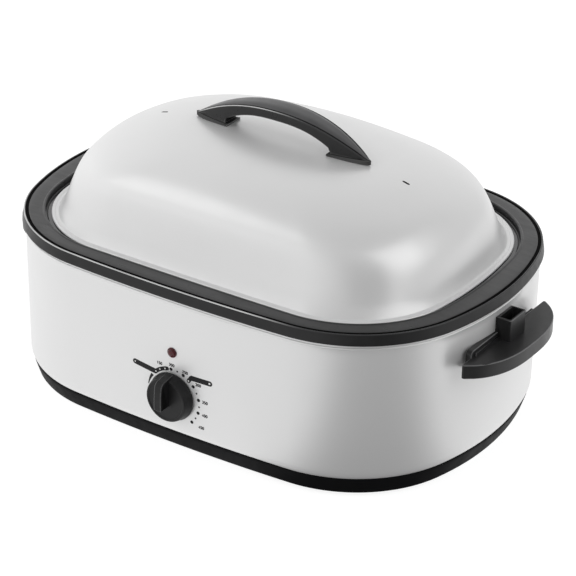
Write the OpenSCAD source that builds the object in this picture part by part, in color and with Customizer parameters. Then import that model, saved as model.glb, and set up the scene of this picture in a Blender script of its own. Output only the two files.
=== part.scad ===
// Electric roaster oven: an oval-cornered countertop cooker with a lift-off
// domed lid, a removable pan and rack, and a thermostat knob on the front.
// Frame: +Z up, front face towards -Y, origin on the table under the middle.

/* [Case] */
// Length of the case at the rim, along X
case_len = 533.6; // [524:0.2:544]
// Width of the case at the rim, along Y
case_wid = 379.2; // [372:0.2:386]
// Radius of the case corners, in plan
corner_r = 139; // [132:1:144]
// How far the long sides bow outwards
side_bow = 18.3; // [16:0.1:20]
// How far the short ends bow outwards
end_bow = 65; // [62:0.5:68]
// Sheet thickness of the outer wrap
wrap_t = 1.0; // [0.8:0.1:1.4]

/* [Top opening] */
// Length of the opening inside the rim
open_len = 481.6; // [476:0.2:486]
// Width of the opening inside the rim
open_wid = 331.8; // [327:0.2:335]
// Corner radius of the opening
open_r = 116.5; // [112:0.5:120]

/* [Heights] */
// How far the feet stand out below the base
foot_h = 4; // [3:0.5:6]
// Top of the black base ring above the table
base_top = 22.7; // [21:0.1:24]
// Lower edge of the rim band
rim_low = 173.7; // [172:0.1:175]
// Top face of the rim
rim_top = 186.8; // [186:0.1:188]
// Underside of the heat well
well_low = 28; // [27:0.5:32]
// Underside of the cooking pan
pan_low = 36; // [35:0.5:40]

/* [Lid] */
// Height of the lid's crown above its flange
lid_rise = 95.5; // [90:0.5:98]
// Sheet thickness of the lid
lid_t = 1.2; // [1:0.1:1.6]
// Height of the lid handle's top above the table
lid_handle_top = 315.5; // [313:0.5:319]

/* [Controls] */
// Sideways place of the knob and lamp
panel_x = -2; // [-6:0.5:6]
// Height of the knob's axis
knob_z = 65.4; // [62:0.1:70]
// Radius of the knob's skirt
knob_r = 26; // [25:0.1:27]
// Height of the indicator lamp
lamp_z = 114.7; // [110:0.1:120]

/* [Side handles] */
// Top face of the wing handles
wing_z = 140.4; // [138:0.1:143]
// How far out the wings reach along X
wing_reach = 302; // [298:0.5:306]
// Height of the lid sockets on the side handles
socket_top = 163.7; // [158:0.1:167]

/* [Hidden] */
// the knob stands proud of the front, so the case sits behind the middle
case_y = 10.6;
module placed() translate([0, case_y, 0]) children();

// A plan is a rectangle with bowed sides and round corners, drawn with
// tangent arcs. Its data: [R1, yc1, R2, xc2, cx, cy, t1, t2] for the corner
// at +X -Y: side arc, end arc, corner arc centre and the two tangent angles.
function plan(a, b, r, sx, sy) =
    let (R1 = (a * a + sx * sx) / (2 * sx), R2 = (b * b + sy * sy) / (2 * sy),
         y1 = R1 - b, x2 = a - R2, p = R1 - r, q = R2 - r,
         d = sqrt(x2 * x2 + y1 * y1), t = (p * p - q * q + d * d) / (2 * d),
         h = sqrt(p * p - t * t), ux = x2 / d, uy = -y1 / d,
         ax = ux * t - uy * h, ay = y1 + uy * t + ux * h,
         bx = ux * t + uy * h, by = y1 + uy * t - ux * h,
         cx = (ax - ay > bx - by) ? ax : bx, cy = (ax - ay > bx - by) ? ay : by)
    [R1, y1, R2, x2, cx, cy, r, atan2(cy - y1, cx), atan2(cy, cx - x2)];
// Points of one quarter (+X -Y), from the front middle to the right middle
function quarter(P, o, n1, n2, n3) = concat(
    [for (i = [0:n1 - 1]) let (t = -90 + (P[7] + 90) * i / n1)
        [(P[0] + o) * cos(t), P[1] + (P[0] + o) * sin(t)]],
    [for (i = [0:n2 - 1]) let (t = P[7] + (P[8] - P[7]) * i / n2)
        [P[4] + (P[6] + o) * cos(t), P[5] + (P[6] + o) * sin(t)]],
    [for (i = [0:n3]) let (t = P[8] * (1 - i / n3))
        [P[3] + (P[2] + o) * cos(t), (P[2] + o) * sin(t)]]);
function rev(v) = [for (i = [len(v) - 1:-1:0]) v[i]];
function tail(v) = [for (i = [1:len(v) - 1]) v[i]];
function head(v) = [for (i = [0:len(v) - 2]) v[i]];
// The whole outline, anticlockwise from the front middle
function outline(P, o, n1 = 4, n2 = 9, n3 = 6) =
    let (q = quarter(P, o, n1, n2, n3),
         up = tail(rev([for (p = q) [p[0], -p[1]]])),
         h = concat(q, up))
    head(concat(h, tail(rev([for (p = h) [-p[0], p[1]]]))));

OUT = plan(case_len / 2, case_wid / 2, corner_r, side_bow, end_bow);
INN = plan(open_len / 2, open_wid / 2, open_r, 4, 32.4);

// Y of the front or back wall, and X of an end wall, at an offset
function side_y(P, o, x) = -P[1] + sqrt((P[0] + o) * (P[0] + o) - x * x);
function end_x(P, o, y) = P[3] + sqrt((P[2] + o) * (P[2] + o) - y * y);

module slab(P, o, z0, z1) translate([0, 0, z0])
    linear_extrude(z1 - z0) polygon(outline(P, o));
module alongy(x, y0, y1, z, r, fn = 48) translate([x, y0, z])
    rotate([-90, 0, 0]) cylinder(h = y1 - y0, r = r, $fn = fn);
module alongx(x0, x1, y, z, r, fn = 48) translate([x0, y, z])
    rotate([0, 90, 0]) cylinder(h = x1 - x0, r = r, $fn = fn);
module box(x0, x1, y0, y1, z0, z1) translate([x0, y0, z0])
    cube([x1 - x0, y1 - y0, z1 - z0]);
function arcpts(cx, cy, r, t0, t1, n) =
    [for (i = [0:n]) let (t = t0 + (t1 - t0) * i / n)
        [cx + r * cos(t), cy + r * sin(t)]];

module loft(rings) {
    m = len(rings[0]); n = len(rings);
    // rings run as one closed tube section from inside centre to outside centre
    pts = concat([for (r = rings) each r]);
    polyhedron(pts, concat(
        [[for (j = [0:m - 1]) j]],
        [for (i = [0:n - 2], j = [0:m - 1]) let (a = i * m + j,
            b = i * m + (j + 1) % m, c = a + m, d = b + m)
            each [[a, c, b], [b, c, d]]],
        [[for (j = [m - 1:-1:0]) (n - 1) * m + j]]), convexity = 4);
}
// A closed ring whose section is a loop of outlines
module hoop(rings) {
    m = len(rings[0]); n = len(rings);
    polyhedron([for (r = rings) each r],
        [for (i = [0:n - 1], j = [0:m - 1]) let (a = i * m + j,
            b = i * m + (j + 1) % m, c = ((i + 1) % n) * m + j,
            d = ((i + 1) % n) * m + (j + 1) % m)
            each [[a, c, b], [b, c, d]]], convexity = 6);
}
function at(P, o, z) = [for (p = outline(P, o, 4, 8, 6)) [p[0], p[1], z]];
// A tray: its section runs from the middle of the underside, up and over the
// rim, to the middle of the inside
module shell(P, prof) loft([for (q = prof)
    [for (p = outline(P, q[0], 3, 7, 5)) [p[0], p[1], q[1]]]]);

// ---- Underside ----
foot_x = 185; foot_y = 98;
plate_z = foot_h + 3.5; plate_t = 1.5;
screw_spots = [for (x = [-100, 100], s = [-1, 1])
    [x, s * side_y(OUT, -19, x), 0]];
end_spots = [for (s = [-1, 1]) [s * end_x(OUT, -19, 0), 0, 0]];

module base_ring() color([0.13, 0.13, 0.14]) difference() {
    hoop([for (q = [[-11, foot_h], [-9.6, foot_h + 2], [-7, 14],
        [-5.2, 20], [-5, base_top], [-9.5, base_top], [-10.5, 17],
        [-13, plate_z + plate_t + 2.5], [-25, plate_z + plate_t + 2.5],
        [-25, plate_z + plate_t], [-14.2, plate_z + plate_t],
        [-14.6, foot_h]]) at(OUT, q[0], q[1])]);
    for (p = concat(screw_spots, end_spots))
        translate([p[0], p[1], plate_z + plate_t - 1])
            cylinder(h = 5, r = 1.7, $fn = 32);
}
module base_plate() color([0.62, 0.63, 0.64]) difference() {
    slab(OUT, -15.6, plate_z, plate_z + plate_t);
    for (p = concat(screw_spots, end_spots))
        translate([p[0], p[1], plate_z - 1]) cylinder(h = 4, r = 2.2, $fn = 32);
    for (x = [-foot_x, foot_x], y = [-foot_y, foot_y])
        translate([x, y, plate_z - 1]) cylinder(h = 4, r = 1.75, $fn = 32);
    // cooling slots
    for (x = [-60:30:60], s = [-1, 1])
        translate([x - 2.5, s * 60 - 20, plate_z - 1]) cube([5, 40, 4]);
}
module feet() color([0.10, 0.10, 0.10])
    for (x = [-foot_x, foot_x], y = [-foot_y, foot_y]) translate([x, y, 0])
        difference() {
            rotate_extrude($fn = 64) polygon([[2.1, 3.2], [4.6, 3.2],
                [4.6, 0], [10.2, 0], [11.2, 1], [12, plate_z], [2.1, plate_z]]);
        }
module foot_screws() color([0.7, 0.7, 0.68])
    for (x = [-foot_x, foot_x], y = [-foot_y, foot_y]) translate([x, y, 0]) {
        translate([0, 0, 1.2]) cylinder(h = 2, r = 3.8, $fn = 48);
        translate([0, 0, 3]) cylinder(h = plate_z + plate_t - 1, r = 1.9, $fn = 32);
    }
module base_screws() color([0.7, 0.7, 0.68])
    for (p = concat(screw_spots, end_spots)) translate([p[0], p[1], 0]) {
        translate([0, 0, plate_z - 2.1]) cylinder(h = 2.1, r = 3.8, $fn = 48);
        translate([0, 0, plate_z - 1]) cylinder(h = 4.8, r = 1.9, $fn = 32);
    }

// ---- Case ----
front_y = -side_y(OUT, -2.2, panel_x);
module outer_wrap() color([0.86, 0.86, 0.86]) difference() {
    hoop([for (q = [[-6.2, base_top], [-4.4, base_top + 1.4],
        [-3.2, base_top + 4], [-2.6, base_top + 8], [-1, 171.5], [-1, 180],
        [-1 - wrap_t, 180], [-1 - wrap_t, 171.5],
        [-2.6 - wrap_t, base_top + 8], [-3.2 - wrap_t, base_top + 4.4],
        [-5.4, base_top + 2.2], [-7.4, base_top + 1], [-7.4, base_top]])
        at(OUT, q[0], q[1])]);
    alongy(panel_x, -200, -170, knob_z, 4.5);
    alongy(panel_x, -200, -170, lamp_z, 3.7);
    // cord entry, with flats so that the bushing can't turn
    intersection() {
        alongy(0, 170, 200, 48, 7);
        box(-7.5, 7.5, 170, 200, 43, 53);
    }
    for (s = [-1, 1], y = [-9, 9])
        alongx(s > 0 ? 240 : -280, s > 0 ? 280 : -240, y + handle_y, 130, 2.3, 32);
}
module top_rim() color([0.16, 0.16, 0.17]) hoop([
    // outer band and top face
    at(OUT, -0.7, rim_low), at(OUT, 2.9, rim_low), at(OUT, 1.1, rim_top - 2.4),
    at(OUT, 0.4, rim_top - 0.6), at(OUT, -0.9, rim_top),
    at(INN, 2.8, rim_top), at(INN, 1.4, rim_top + 0.6), at(INN, 0, rim_top + 0.6),
    // inner wall and the ledge that carries the pan
    at(INN, 0, 180), at(INN, -7, 180), at(INN, -7, 177.6), at(INN, 2.8, 177.6),
    // underside
    at(INN, 2.8, rim_top - 2.6), at(OUT, -6, rim_top - 2.6),
    at(OUT, -3.2, rim_top - 4.4), at(OUT, -0.7, rim_top - 5.4)]);
module heat_well() color([0.66, 0.66, 0.65]) shell(INN, concat(
    arcpts(-29, well_low + 16, 16, -90, 0, 5),
    [[-13, 176.4], [1.5, 176.4], [1.5, 177.4], [-14, 177.4]],
    arcpts(-29, well_low + 16, 15, 0, -90, 5)));
module insulation_blanket() color([0.86, 0.84, 0.74]) difference() {
    slab(INN, 4, 34, 172);
    slab(INN, -10.5, 33, 173);
    box(-64, 44, -200, -140, 30, 132);
    box(-48, 48, 140, 200, 30, 96);
}
module heater_band() color([0.55, 0.50, 0.42]) union() {
    difference() {
        slab(INN, -11, 50, 86);
        slab(INN, -12.2, 49, 87);
        box(-14, 14, 120, 180, 40, 90);
    }
    for (s = [-1, 1]) box(s > 0 ? 14.2 : -16, s > 0 ? 16 : -14.2,
        side_y(INN, -11.7, 15), 163, 52, 84);
}
module heater_clips() color([0.7, 0.7, 0.68]) for (z = [58, 78]) {
    alongx(-20, 20, 159, z, 1.8, 32);
    alongx(-19.6, -16.1, 159, z, 3.4, 6);
    alongx(16.1, 19.6, 159, z, 3.4, 6);
}

// ---- Controls ----
tb_y = -182.4;
module thermostat_bracket() color([0.7, 0.7, 0.68]) difference() {
    union() {
        box(panel_x - 32, panel_x + 32, tb_y - 1.6, tb_y, knob_z - 20, knob_z + 20);
        // weld nubs that bite into the wrap
        for (x = [-27, 27], z = [-14, 14])
            alongy(panel_x + x, -186.9, tb_y - 1, knob_z + z, 3, 32);
    }
    alongy(panel_x, -190, -170, knob_z, 7.2);
    for (x = [-18, 18]) alongy(panel_x + x, -190, -170, knob_z, 1.75, 32);
}
module thermostat_body() color([0.80, 0.78, 0.72]) difference() {
    union() {
        box(panel_x - 22, panel_x + 22, tb_y, -160, knob_z - 18, knob_z + 18);
        alongy(panel_x, tb_y - 3, tb_y + 1, knob_z, 6.8);
        for (x = [-14, 14]) box(panel_x + x - 3, panel_x + x + 3, -176, -164,
            knob_z - 22, knob_z + 22);
    }
    alongy(panel_x, -190, -168, knob_z, 3.05, 64);
    for (x = [-18, 18]) alongy(panel_x + x, -190, -174, knob_z, 1.6, 32);
}
module thermostat_screws() color([0.7, 0.7, 0.68])
    for (x = [-18, 18]) {
        alongy(panel_x + x, tb_y - 3.4, tb_y - 1.6, knob_z, 3.2, 32);
        alongy(panel_x + x, tb_y - 2, -176, knob_z, 1.7, 32);
    }
module thermostat_shaft() color([0.75, 0.75, 0.74]) union() {
    alongy(panel_x, -203, -169, knob_z, 3, 64);
}
module control_knob() color([0.11, 0.11, 0.12]) difference() {
    union() {
        translate([panel_x, -188.6, knob_z]) rotate([90, 0, 0])
            rotate_extrude($fn = 96) polygon([[0, 0], [knob_r, 0],
                [knob_r, 2.2], [knob_r - 0.6, 3], [knob_r - 2.5, 10.4],
                [knob_r - 3.3, 11.4], [knob_r - 5, 11.6], [0, 11.6]]);
        // grip bar, set towards the top, its upper end sloping to the skirt
        translate([panel_x - 5.3, 0, knob_z]) rotate([90, 0, 90])
            linear_extrude(10.6) polygon([[-199, -6.6], [-213.6, -6.6],
                [-213.6, 8], [-212.8, 17], [-211.4, 21.5], [-208, 24.4],
                [-190.6, 26.6], [-190.6, 10]]);
    }
    alongy(panel_x, -203, -180, knob_z, 2.95, 64);
}
module indicator_lens() color([0.55, 0.05, 0.05]) difference() {
    union() {
        translate([panel_x, -188.1, lamp_z]) rotate([90, 0, 0])
            rotate_extrude($fn = 64) polygon([[0, 0], [5, 0], [5, 0.8],
                [4.4, 1.9], [3.0, 2.7], [1.4, 3.1], [0, 3.2]]);
        alongy(panel_x, -188.4, -183.4, lamp_z, 3.5);
    }
    alongy(panel_x, -188, -180, lamp_z, 2.6);
}
module indicator_lamp() color([0.85, 0.45, 0.25]) union() {
    alongy(panel_x, -186.5, -178, lamp_z, 2.3);
    alongy(panel_x, -182.8, -170, lamp_z, 3.4);
}
module thermal_fuse() color([0.8, 0.8, 0.78])
    alongx(-58, -42, -158.8, knob_z, 3.6);
module fuse_strap() color([0.7, 0.7, 0.68]) union() {
    difference() {
        alongx(-53, -47, -158.8, knob_z, 4.8);
        alongx(-54, -46, -158.8, knob_z, 3.7);
        box(-54, -46, -155, -150, 50, 80);
    }
    box(-53, -47, -156, -155, knob_z + 3, knob_z + 12);
    box(-53, -47, -156, -155, knob_z - 12, knob_z - 3);
}

// ---- Wiring ----
module terminal_block() color([0.88, 0.86, 0.80]) difference() {
    box(-24, 24, 136, 152, plate_z + plate_t, 25);
    for (x = [-16, 0, 16]) translate([x, 144, 18]) cylinder(h = 9, r = 1.8, $fn = 32);
}
module terminal_screws() color([0.78, 0.62, 0.28])
    for (x = [-16, 0, 16]) translate([x, 144, 0]) {
        translate([0, 0, 25]) cylinder(h = 1.5, r = 3.2, $fn = 32);
        translate([0, 0, 19]) cylinder(h = 7, r = 1.9, $fn = 32);
    }
module knee(x, y, z, r) translate([x, y, z]) sphere(r = r * 1.06, $fn = 24);
module lead_wires() color([0.75, 0.72, 0.66]) {
    // supply side: terminal block to thermostat
    union() {
        alongy(-16, -170, 136.5, 16, 1.5, 24);
        knee(-16, -170, 16, 1.5);
        translate([-16, -170, 16]) cylinder(h = knob_z - 38, r = 1.5, $fn = 24);
    }
    // thermostat to one end of the heater
    union() {
        translate([12, -170, 16]) cylinder(h = knob_z - 38, r = 1.5, $fn = 24);
        knee(12, -170, 16, 1.5);
        alongx(12, 34, -170, 16, 1.5, 24);
        knee(34, -170, 16, 1.5);
        alongy(34, -170, 160, 16, 1.5, 24);
        knee(34, 160, 16, 1.5);
        translate([34, 160, 16]) cylinder(h = 52, r = 1.5, $fn = 24);
        knee(34, 160, 68, 1.5);
        alongx(15.8, 34, 160, 68, 1.5, 24);
    }
    // terminal block to the heater's other end
    union() {
        alongx(-34, -23.8, 144, 16, 1.5, 24);
        knee(-34, 144, 16, 1.5);
        alongy(-34, 144, 160, 16, 1.5, 24);
        knee(-34, 160, 16, 1.5);
        translate([-34, 160, 16]) cylinder(h = 52, r = 1.5, $fn = 24);
        knee(-34, 160, 68, 1.5);
        alongx(-34, -15.8, 160, 68, 1.5, 24);
    }
    // lamp leads
    for (y = [-179, -174]) translate([panel_x, y, knob_z + 17.8])
        cylinder(h = lamp_z - knob_z - 20.6, r = 0.9, $fn = 24);
}
module obround(w, h, d) union() {
    intersection() {
        rotate([-90, 0, 0]) cylinder(h = d, r = w / 2, $fn = 64);
        translate([-w / 2 - 1, -1, -h / 2]) cube([w + 2, d + 2, h]);
    }
}
module cord_bushing() color([0.10, 0.10, 0.10]) translate([0, 0, 48])
    difference() {
        union() {
            translate([0, 187.6, 0]) obround(20, 17, 4);
            translate([0, 181, 0]) obround(13.4, 9.4, 8);
            translate([0, 182.3, 0]) obround(18, 15, 3.4);
        }
        translate([0, 170, 0]) obround(8.4, 5.4, 40);
    }

// ---- Side handles, drawn for the +X end ----
wing_y = 81; wing_x = 267; handle_y = -3;
// outer edge of the wing, o mm inside the full outline
function wing(o, n = 20) =
    [for (i = [0:n]) let (v = -1 + 2 * i / n, t = sin(90 * v) * 0.985,
        k = pow(1 - pow(abs(t), 2.6), 0.8))
        [wing_x + (wing_reach - wing_x - o) * k + o * (1 - k) * 0.6,
         t * (wing_y - o)]];
module wing_top(o) polygon(concat([[wing_x + o, -(wing_y - o) * 0.985]],
    wing(o), [[wing_x + o, (wing_y - o) * 0.985]]));
module side_handle() translate([0, handle_y, 0]) difference() {
    union() {
        // wing: a thin top with a skirt, hollow below for the fingers
        difference() {
            translate([0, 0, wing_z - 15]) linear_extrude(15) wing_top(0);
            translate([0, 0, wing_z - 16]) linear_extrude(12.6) wing_top(3);
        }
        // plate against the wall
        translate([0, 0, wing_z - 15]) linear_extrude(22)
            polygon([[240, -46], [255, -52], [263, -60], [267.4, -66],
                [267.4, 66], [263, 60], [255, 52], [240, 46]]);
        // block with the socket that holds the upturned lid
        box(240, 284.5, -16, 16, wing_z - 15, socket_top);
    }
    // wall of the case
    translate([OUT[3], -handle_y, 100]) cylinder(h = 90, r = OUT[2] - 0.85, $fn = 360);
    // lid socket
    box(269.5, 282, -13.5, 13.5, wing_z + 1.6, socket_top + 10);
    // screw pilot holes
    for (y = [-9, 9]) alongx(230, 278, y, 130, 1.7, 32);
}
module side_handle_right() color([0.14, 0.14, 0.15]) side_handle();
module side_handle_left() color([0.14, 0.14, 0.15]) mirror([1, 0, 0]) side_handle();
module handle_screws() color([0.7, 0.7, 0.68])
    for (s = [0, 1]) mirror([s, 0, 0]) for (y = [-9, 9]) {
        alongx(261.6, 263.8, y + handle_y, 130, 4, 32);
        alongx(262, 276, y + handle_y, 130, 1.9, 32);
    }

// ---- Pan and rack ----
module cooking_pan() color([0.12, 0.12, 0.14]) shell(INN, concat(
    arcpts(-46, pan_low + 20, 20, -90, 0, 5),
    [[-21.2, 179.3], [-20.4, 180.3], [-2, 180.3], [-2, 181.5],
     [-21.6, 181.5], [-22.4, 179.3]],
    arcpts(-46, pan_low + 20, 18.8, 0, -90, 5)));
rack_z = 52; rw = 2;
module rack_wire_y(x, l) alongy(x, -l, l, rack_z + 3.2, rw, 24);
module roasting_rack() color([0.78, 0.78, 0.78]) union() {
    // frame
    for (s = [-1, 1]) {
        alongx(-168, 168, s * 96, rack_z, 2.5, 24);
        alongy(s * 186, -78, 78, rack_z, 2.5, 24);
        for (u = [-1, 1]) translate([s * 168, u * 78, rack_z])
            rotate([0, 0, s > 0 ? (u > 0 ? 0 : -90) : (u > 0 ? 90 : 180)])
            rotate_extrude(angle = 90, $fn = 64)
            translate([18, 0]) circle(r = 2.5, $fn = 24);
    }
    // bars
    for (x = [-156:24:156]) alongy(x, -96, 96, rack_z + 3.2, rw, 24);
    // legs
    for (x = [-120, 120], s = [-1, 1]) translate([x, s * 96, pan_low + 1.6])
        cylinder(h = rack_z - pan_low - 1.6, r = 2.4, $fn = 24);
}
// lifting loops at the ends, welded on top of the frame
module rack_loops() color([0.78, 0.78, 0.78]) for (s = [-1, 1]) union() {
    for (u = [-1, 1]) translate([s * 186, u * 40, rack_z + 2])
        cylinder(h = 44, r = 2.4, $fn = 24);
    alongy(s * 186, -40, 40, rack_z + 46, 2.4, 24);
    for (u = [-1, 1]) translate([s * 186, u * 40, rack_z + 46])
        sphere(r = 2.6, $fn = 24);
}

// ---- Lid ----
flange_z = 183.1;
lid_z0 = flange_z + 1.5;
// stations of the dome: [share of the rise, half length, half width], the
// last two as shares of the foot's own half sizes
DOME = [[0, 1, 1], [0.126, 0.991, 0.965], [0.25, 0.979, 0.941],
    [0.377, 0.963, 0.925], [0.49, 0.941, 0.914], [0.6, 0.906, 0.898],
    [0.69, 0.862, 0.86], [0.775, 0.79, 0.805], [0.843, 0.71, 0.735],
    [0.9, 0.62, 0.65], [0.948, 0.49, 0.52], [0.982, 0.305, 0.32]];
foot_o = -16;
fa = open_len / 2 + foot_o; fb = open_wid / 2 + foot_o;
// one level of the dome: the plan, drawn in towards an oval as it rises
function level(o, kx, ky, z, w) = [for (p = outline(INN, o, 3, 6, 4))
    let (u = p[0] / (fa + o - foot_o), v = p[1] / (fb + o - foot_o),
         n = norm([u, v]), g = ((1 - w) * n + w) / n)
    [u * g * kx * (fa + o - foot_o), v * g * ky * (fb + o - foot_o), z]];
function morph(k) = 0.9 * (1 - pow(k, 3.4));
module lid_shell() color([0.85, 0.85, 0.85]) difference() {
    loft(concat(
        // underside, from the crown down
        [for (i = [len(DOME) - 1:-1:1]) let (d = DOME[i])
            level(foot_o - lid_t, d[1], d[2], lid_z0 + lid_rise * d[0] - lid_t,
                morph((d[1] + d[2]) / 2))],
        [level(foot_o - lid_t, 1, 1, flange_z - lid_t, 0),
         level(-9.5, 1, 1, flange_z - lid_t, 0),
         level(-6, 1, 1, flange_z - lid_t - 0.1, 0),
         level(-6, 1, 1, flange_z, 0),
         level(-7, 1, 1, flange_z + 0.6, 0),
         level(-9.5, 1, 1, flange_z + 0.6, 0),
         level(-10.2, 1, 1, flange_z, 0),
         level(-15, 1, 1, flange_z, 0),
         level(foot_o, 1, 1, lid_z0, 0)],
        [for (i = [1:len(DOME) - 1]) let (d = DOME[i])
            level(foot_o, d[1], d[2], lid_z0 + lid_rise * d[0],
                morph((d[1] + d[2]) / 2))]));
    // steam slots
    for (x = [-147, 147]) translate([x - 4, -0.8, 240]) cube([8, 1.6, 60]);
    // holes for the handle screws
    for (x = [-84, 84]) translate([x, 0, 240]) cylinder(h = 60, r = 2.4, $fn = 32);
}

// Lid handle: an arch along X, boat-shaped from above
hx = 104.5;
function arch_top(x) = max(282.4, lid_handle_top - 3 - 29 * pow(abs(x) / 100, 2.16));
function arch_low(x) = 301.7 - 16.5 * pow(abs(x) / 64.5, 2.6);
module boat(z0, z1, grow = 0) translate([0, 0, z0]) linear_extrude(z1 - z0)
    polygon(concat([for (i = [0:24]) let (t = -90 + 180 * i / 24)
            [(hx + grow) * sin(t), -(14.4 + grow) * pow(cos(t), 1.2)]],
        [for (i = [1:23]) let (t = 90 - 180 * i / 24)
            [(hx + grow) * sin(t), (14.4 + grow) * pow(cos(t), 1.2)]]));
module side_cut(pts) translate([0, 30, 0]) rotate([90, 0, 0])
    linear_extrude(60) polygon(pts);
module lid_handle() color([0.15, 0.15, 0.16]) difference() {
    intersection() {
        boat(270, 330);
        side_cut(concat([[-110, 281.2], [-62, 281.2], [-64.5, 285]],
            [for (x = [-56:8:56]) [x, arch_low(x)]],
            [[64.5, 285], [62, 281.2], [110, 281.2]],
            [for (x = [110:-5:-110]) [x, arch_top(x) + 3 * max(0, 1 - pow(x / 90, 2))]]));
    }
    // blind holes for the screws
    for (x = [-84, 84]) translate([x, 0, 270]) cylinder(h = 19, r = 1.9, $fn = 32);
}
module lid_handle_pads() color([0.08, 0.08, 0.08]) difference() {
    intersection() {
        boat(270, 290, 1.4);
        union() {
            side_cut([[61, 279.4], [84, 278.2], [109, 276.8], [109, 281.1], [61, 281.1]]);
            side_cut([[-61, 279.4], [-84, 278.2], [-109, 276.8], [-109, 281.1], [-61, 281.1]]);
        }
    }
    for (x = [-84, 84]) translate([x, 0, 240]) cylinder(h = 60, r = 2.4, $fn = 32);
}
module lid_handle_screws() color([0.72, 0.72, 0.70])
    for (x = [-84, 84]) translate([x, 0, 0]) {
        translate([0, 0, 271.5]) cylinder(h = 2.4, r = 4.2, $fn = 48);
        translate([0, 0, 273.6]) cylinder(h = 0.9, r = 7, $fn = 48);
        translate([0, 0, 273]) cylinder(h = 14, r = 2.1, $fn = 32);
    }

placed() base_ring();
placed() base_plate();
placed() feet();
placed() foot_screws();
placed() base_screws();
placed() outer_wrap();
placed() top_rim();
placed() heat_well();
placed() insulation_blanket();
placed() heater_band();
placed() heater_clips();
placed() thermostat_bracket();
placed() thermostat_body();
placed() thermostat_screws();
placed() thermostat_shaft();
placed() control_knob();
placed() indicator_lens();
placed() indicator_lamp();
placed() thermal_fuse();
placed() fuse_strap();
placed() terminal_block();
placed() terminal_screws();
placed() lead_wires();
placed() cord_bushing();
placed() side_handle_left();
placed() side_handle_right();
placed() handle_screws();
placed() cooking_pan();
placed() roasting_rack();
placed() rack_loops();
placed() lid_shell();
placed() lid_handle();
placed() lid_handle_pads();
placed() lid_handle_screws();
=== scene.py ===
"""Electric roaster oven: looks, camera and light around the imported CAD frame. Metres, +Z up, front towards -Y."""
import math
import bpy
import bmesh
import numpy as np
from mathutils import Vector, Matrix


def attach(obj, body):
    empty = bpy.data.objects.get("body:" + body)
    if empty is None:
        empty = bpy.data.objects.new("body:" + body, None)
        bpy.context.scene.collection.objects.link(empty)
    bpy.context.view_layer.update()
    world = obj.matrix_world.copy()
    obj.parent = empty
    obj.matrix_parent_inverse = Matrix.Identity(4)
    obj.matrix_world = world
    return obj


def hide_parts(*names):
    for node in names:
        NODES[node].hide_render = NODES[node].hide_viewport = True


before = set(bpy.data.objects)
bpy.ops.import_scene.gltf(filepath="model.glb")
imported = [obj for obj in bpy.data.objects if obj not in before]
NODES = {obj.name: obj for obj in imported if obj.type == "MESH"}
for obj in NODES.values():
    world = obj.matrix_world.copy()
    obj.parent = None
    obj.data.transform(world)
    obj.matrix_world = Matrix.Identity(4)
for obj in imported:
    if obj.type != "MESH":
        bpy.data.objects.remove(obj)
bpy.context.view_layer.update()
MM = 0.001
CY = 10.6          # the plan's centre, behind the origin
D = math.radians

# ------------------------------------------------------------------ camera
sc = bpy.context.scene
az, el, roll, dist = D(33.54), D(27.63), D(0.87), 2762.13
back = np.array([math.sin(az) * math.cos(el), -math.cos(az) * math.cos(el), math.sin(el)])
rt = np.array([math.cos(az), math.sin(az), 0.0])
up = np.array([-math.sin(az) * math.sin(el), math.cos(az) * math.sin(el), math.cos(el)])
r2 = math.cos(roll) * rt + math.sin(roll) * up
u2 = -math.sin(roll) * rt + math.cos(roll) * up
cam_pos = np.array([0.0, CY, 114.4]) + back * dist
cam = bpy.data.cameras.new("cam")
cam_ob = bpy.data.objects.new("cam", cam)
sc.collection.objects.link(cam_ob)
M = Matrix.Identity(4)
for i in range(3):
    M[i][0], M[i][1], M[i][2], M[i][3] = r2[i], u2[i], back[i], cam_pos[i] * MM
cam_ob.matrix_world = M
cam.sensor_fit = "AUTO"
cam.sensor_width = 36
cam.lens = 166.12
cam.shift_x, cam.shift_y = 0.01359, -0.01155
cam.clip_start, cam.clip_end = 0.05, 60
sc.camera = cam_ob
sc.view_settings.view_transform = "Standard"
sc.view_settings.look = "None"
sc.view_settings.exposure = 0.0
sc.view_settings.gamma = 1.0


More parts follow.
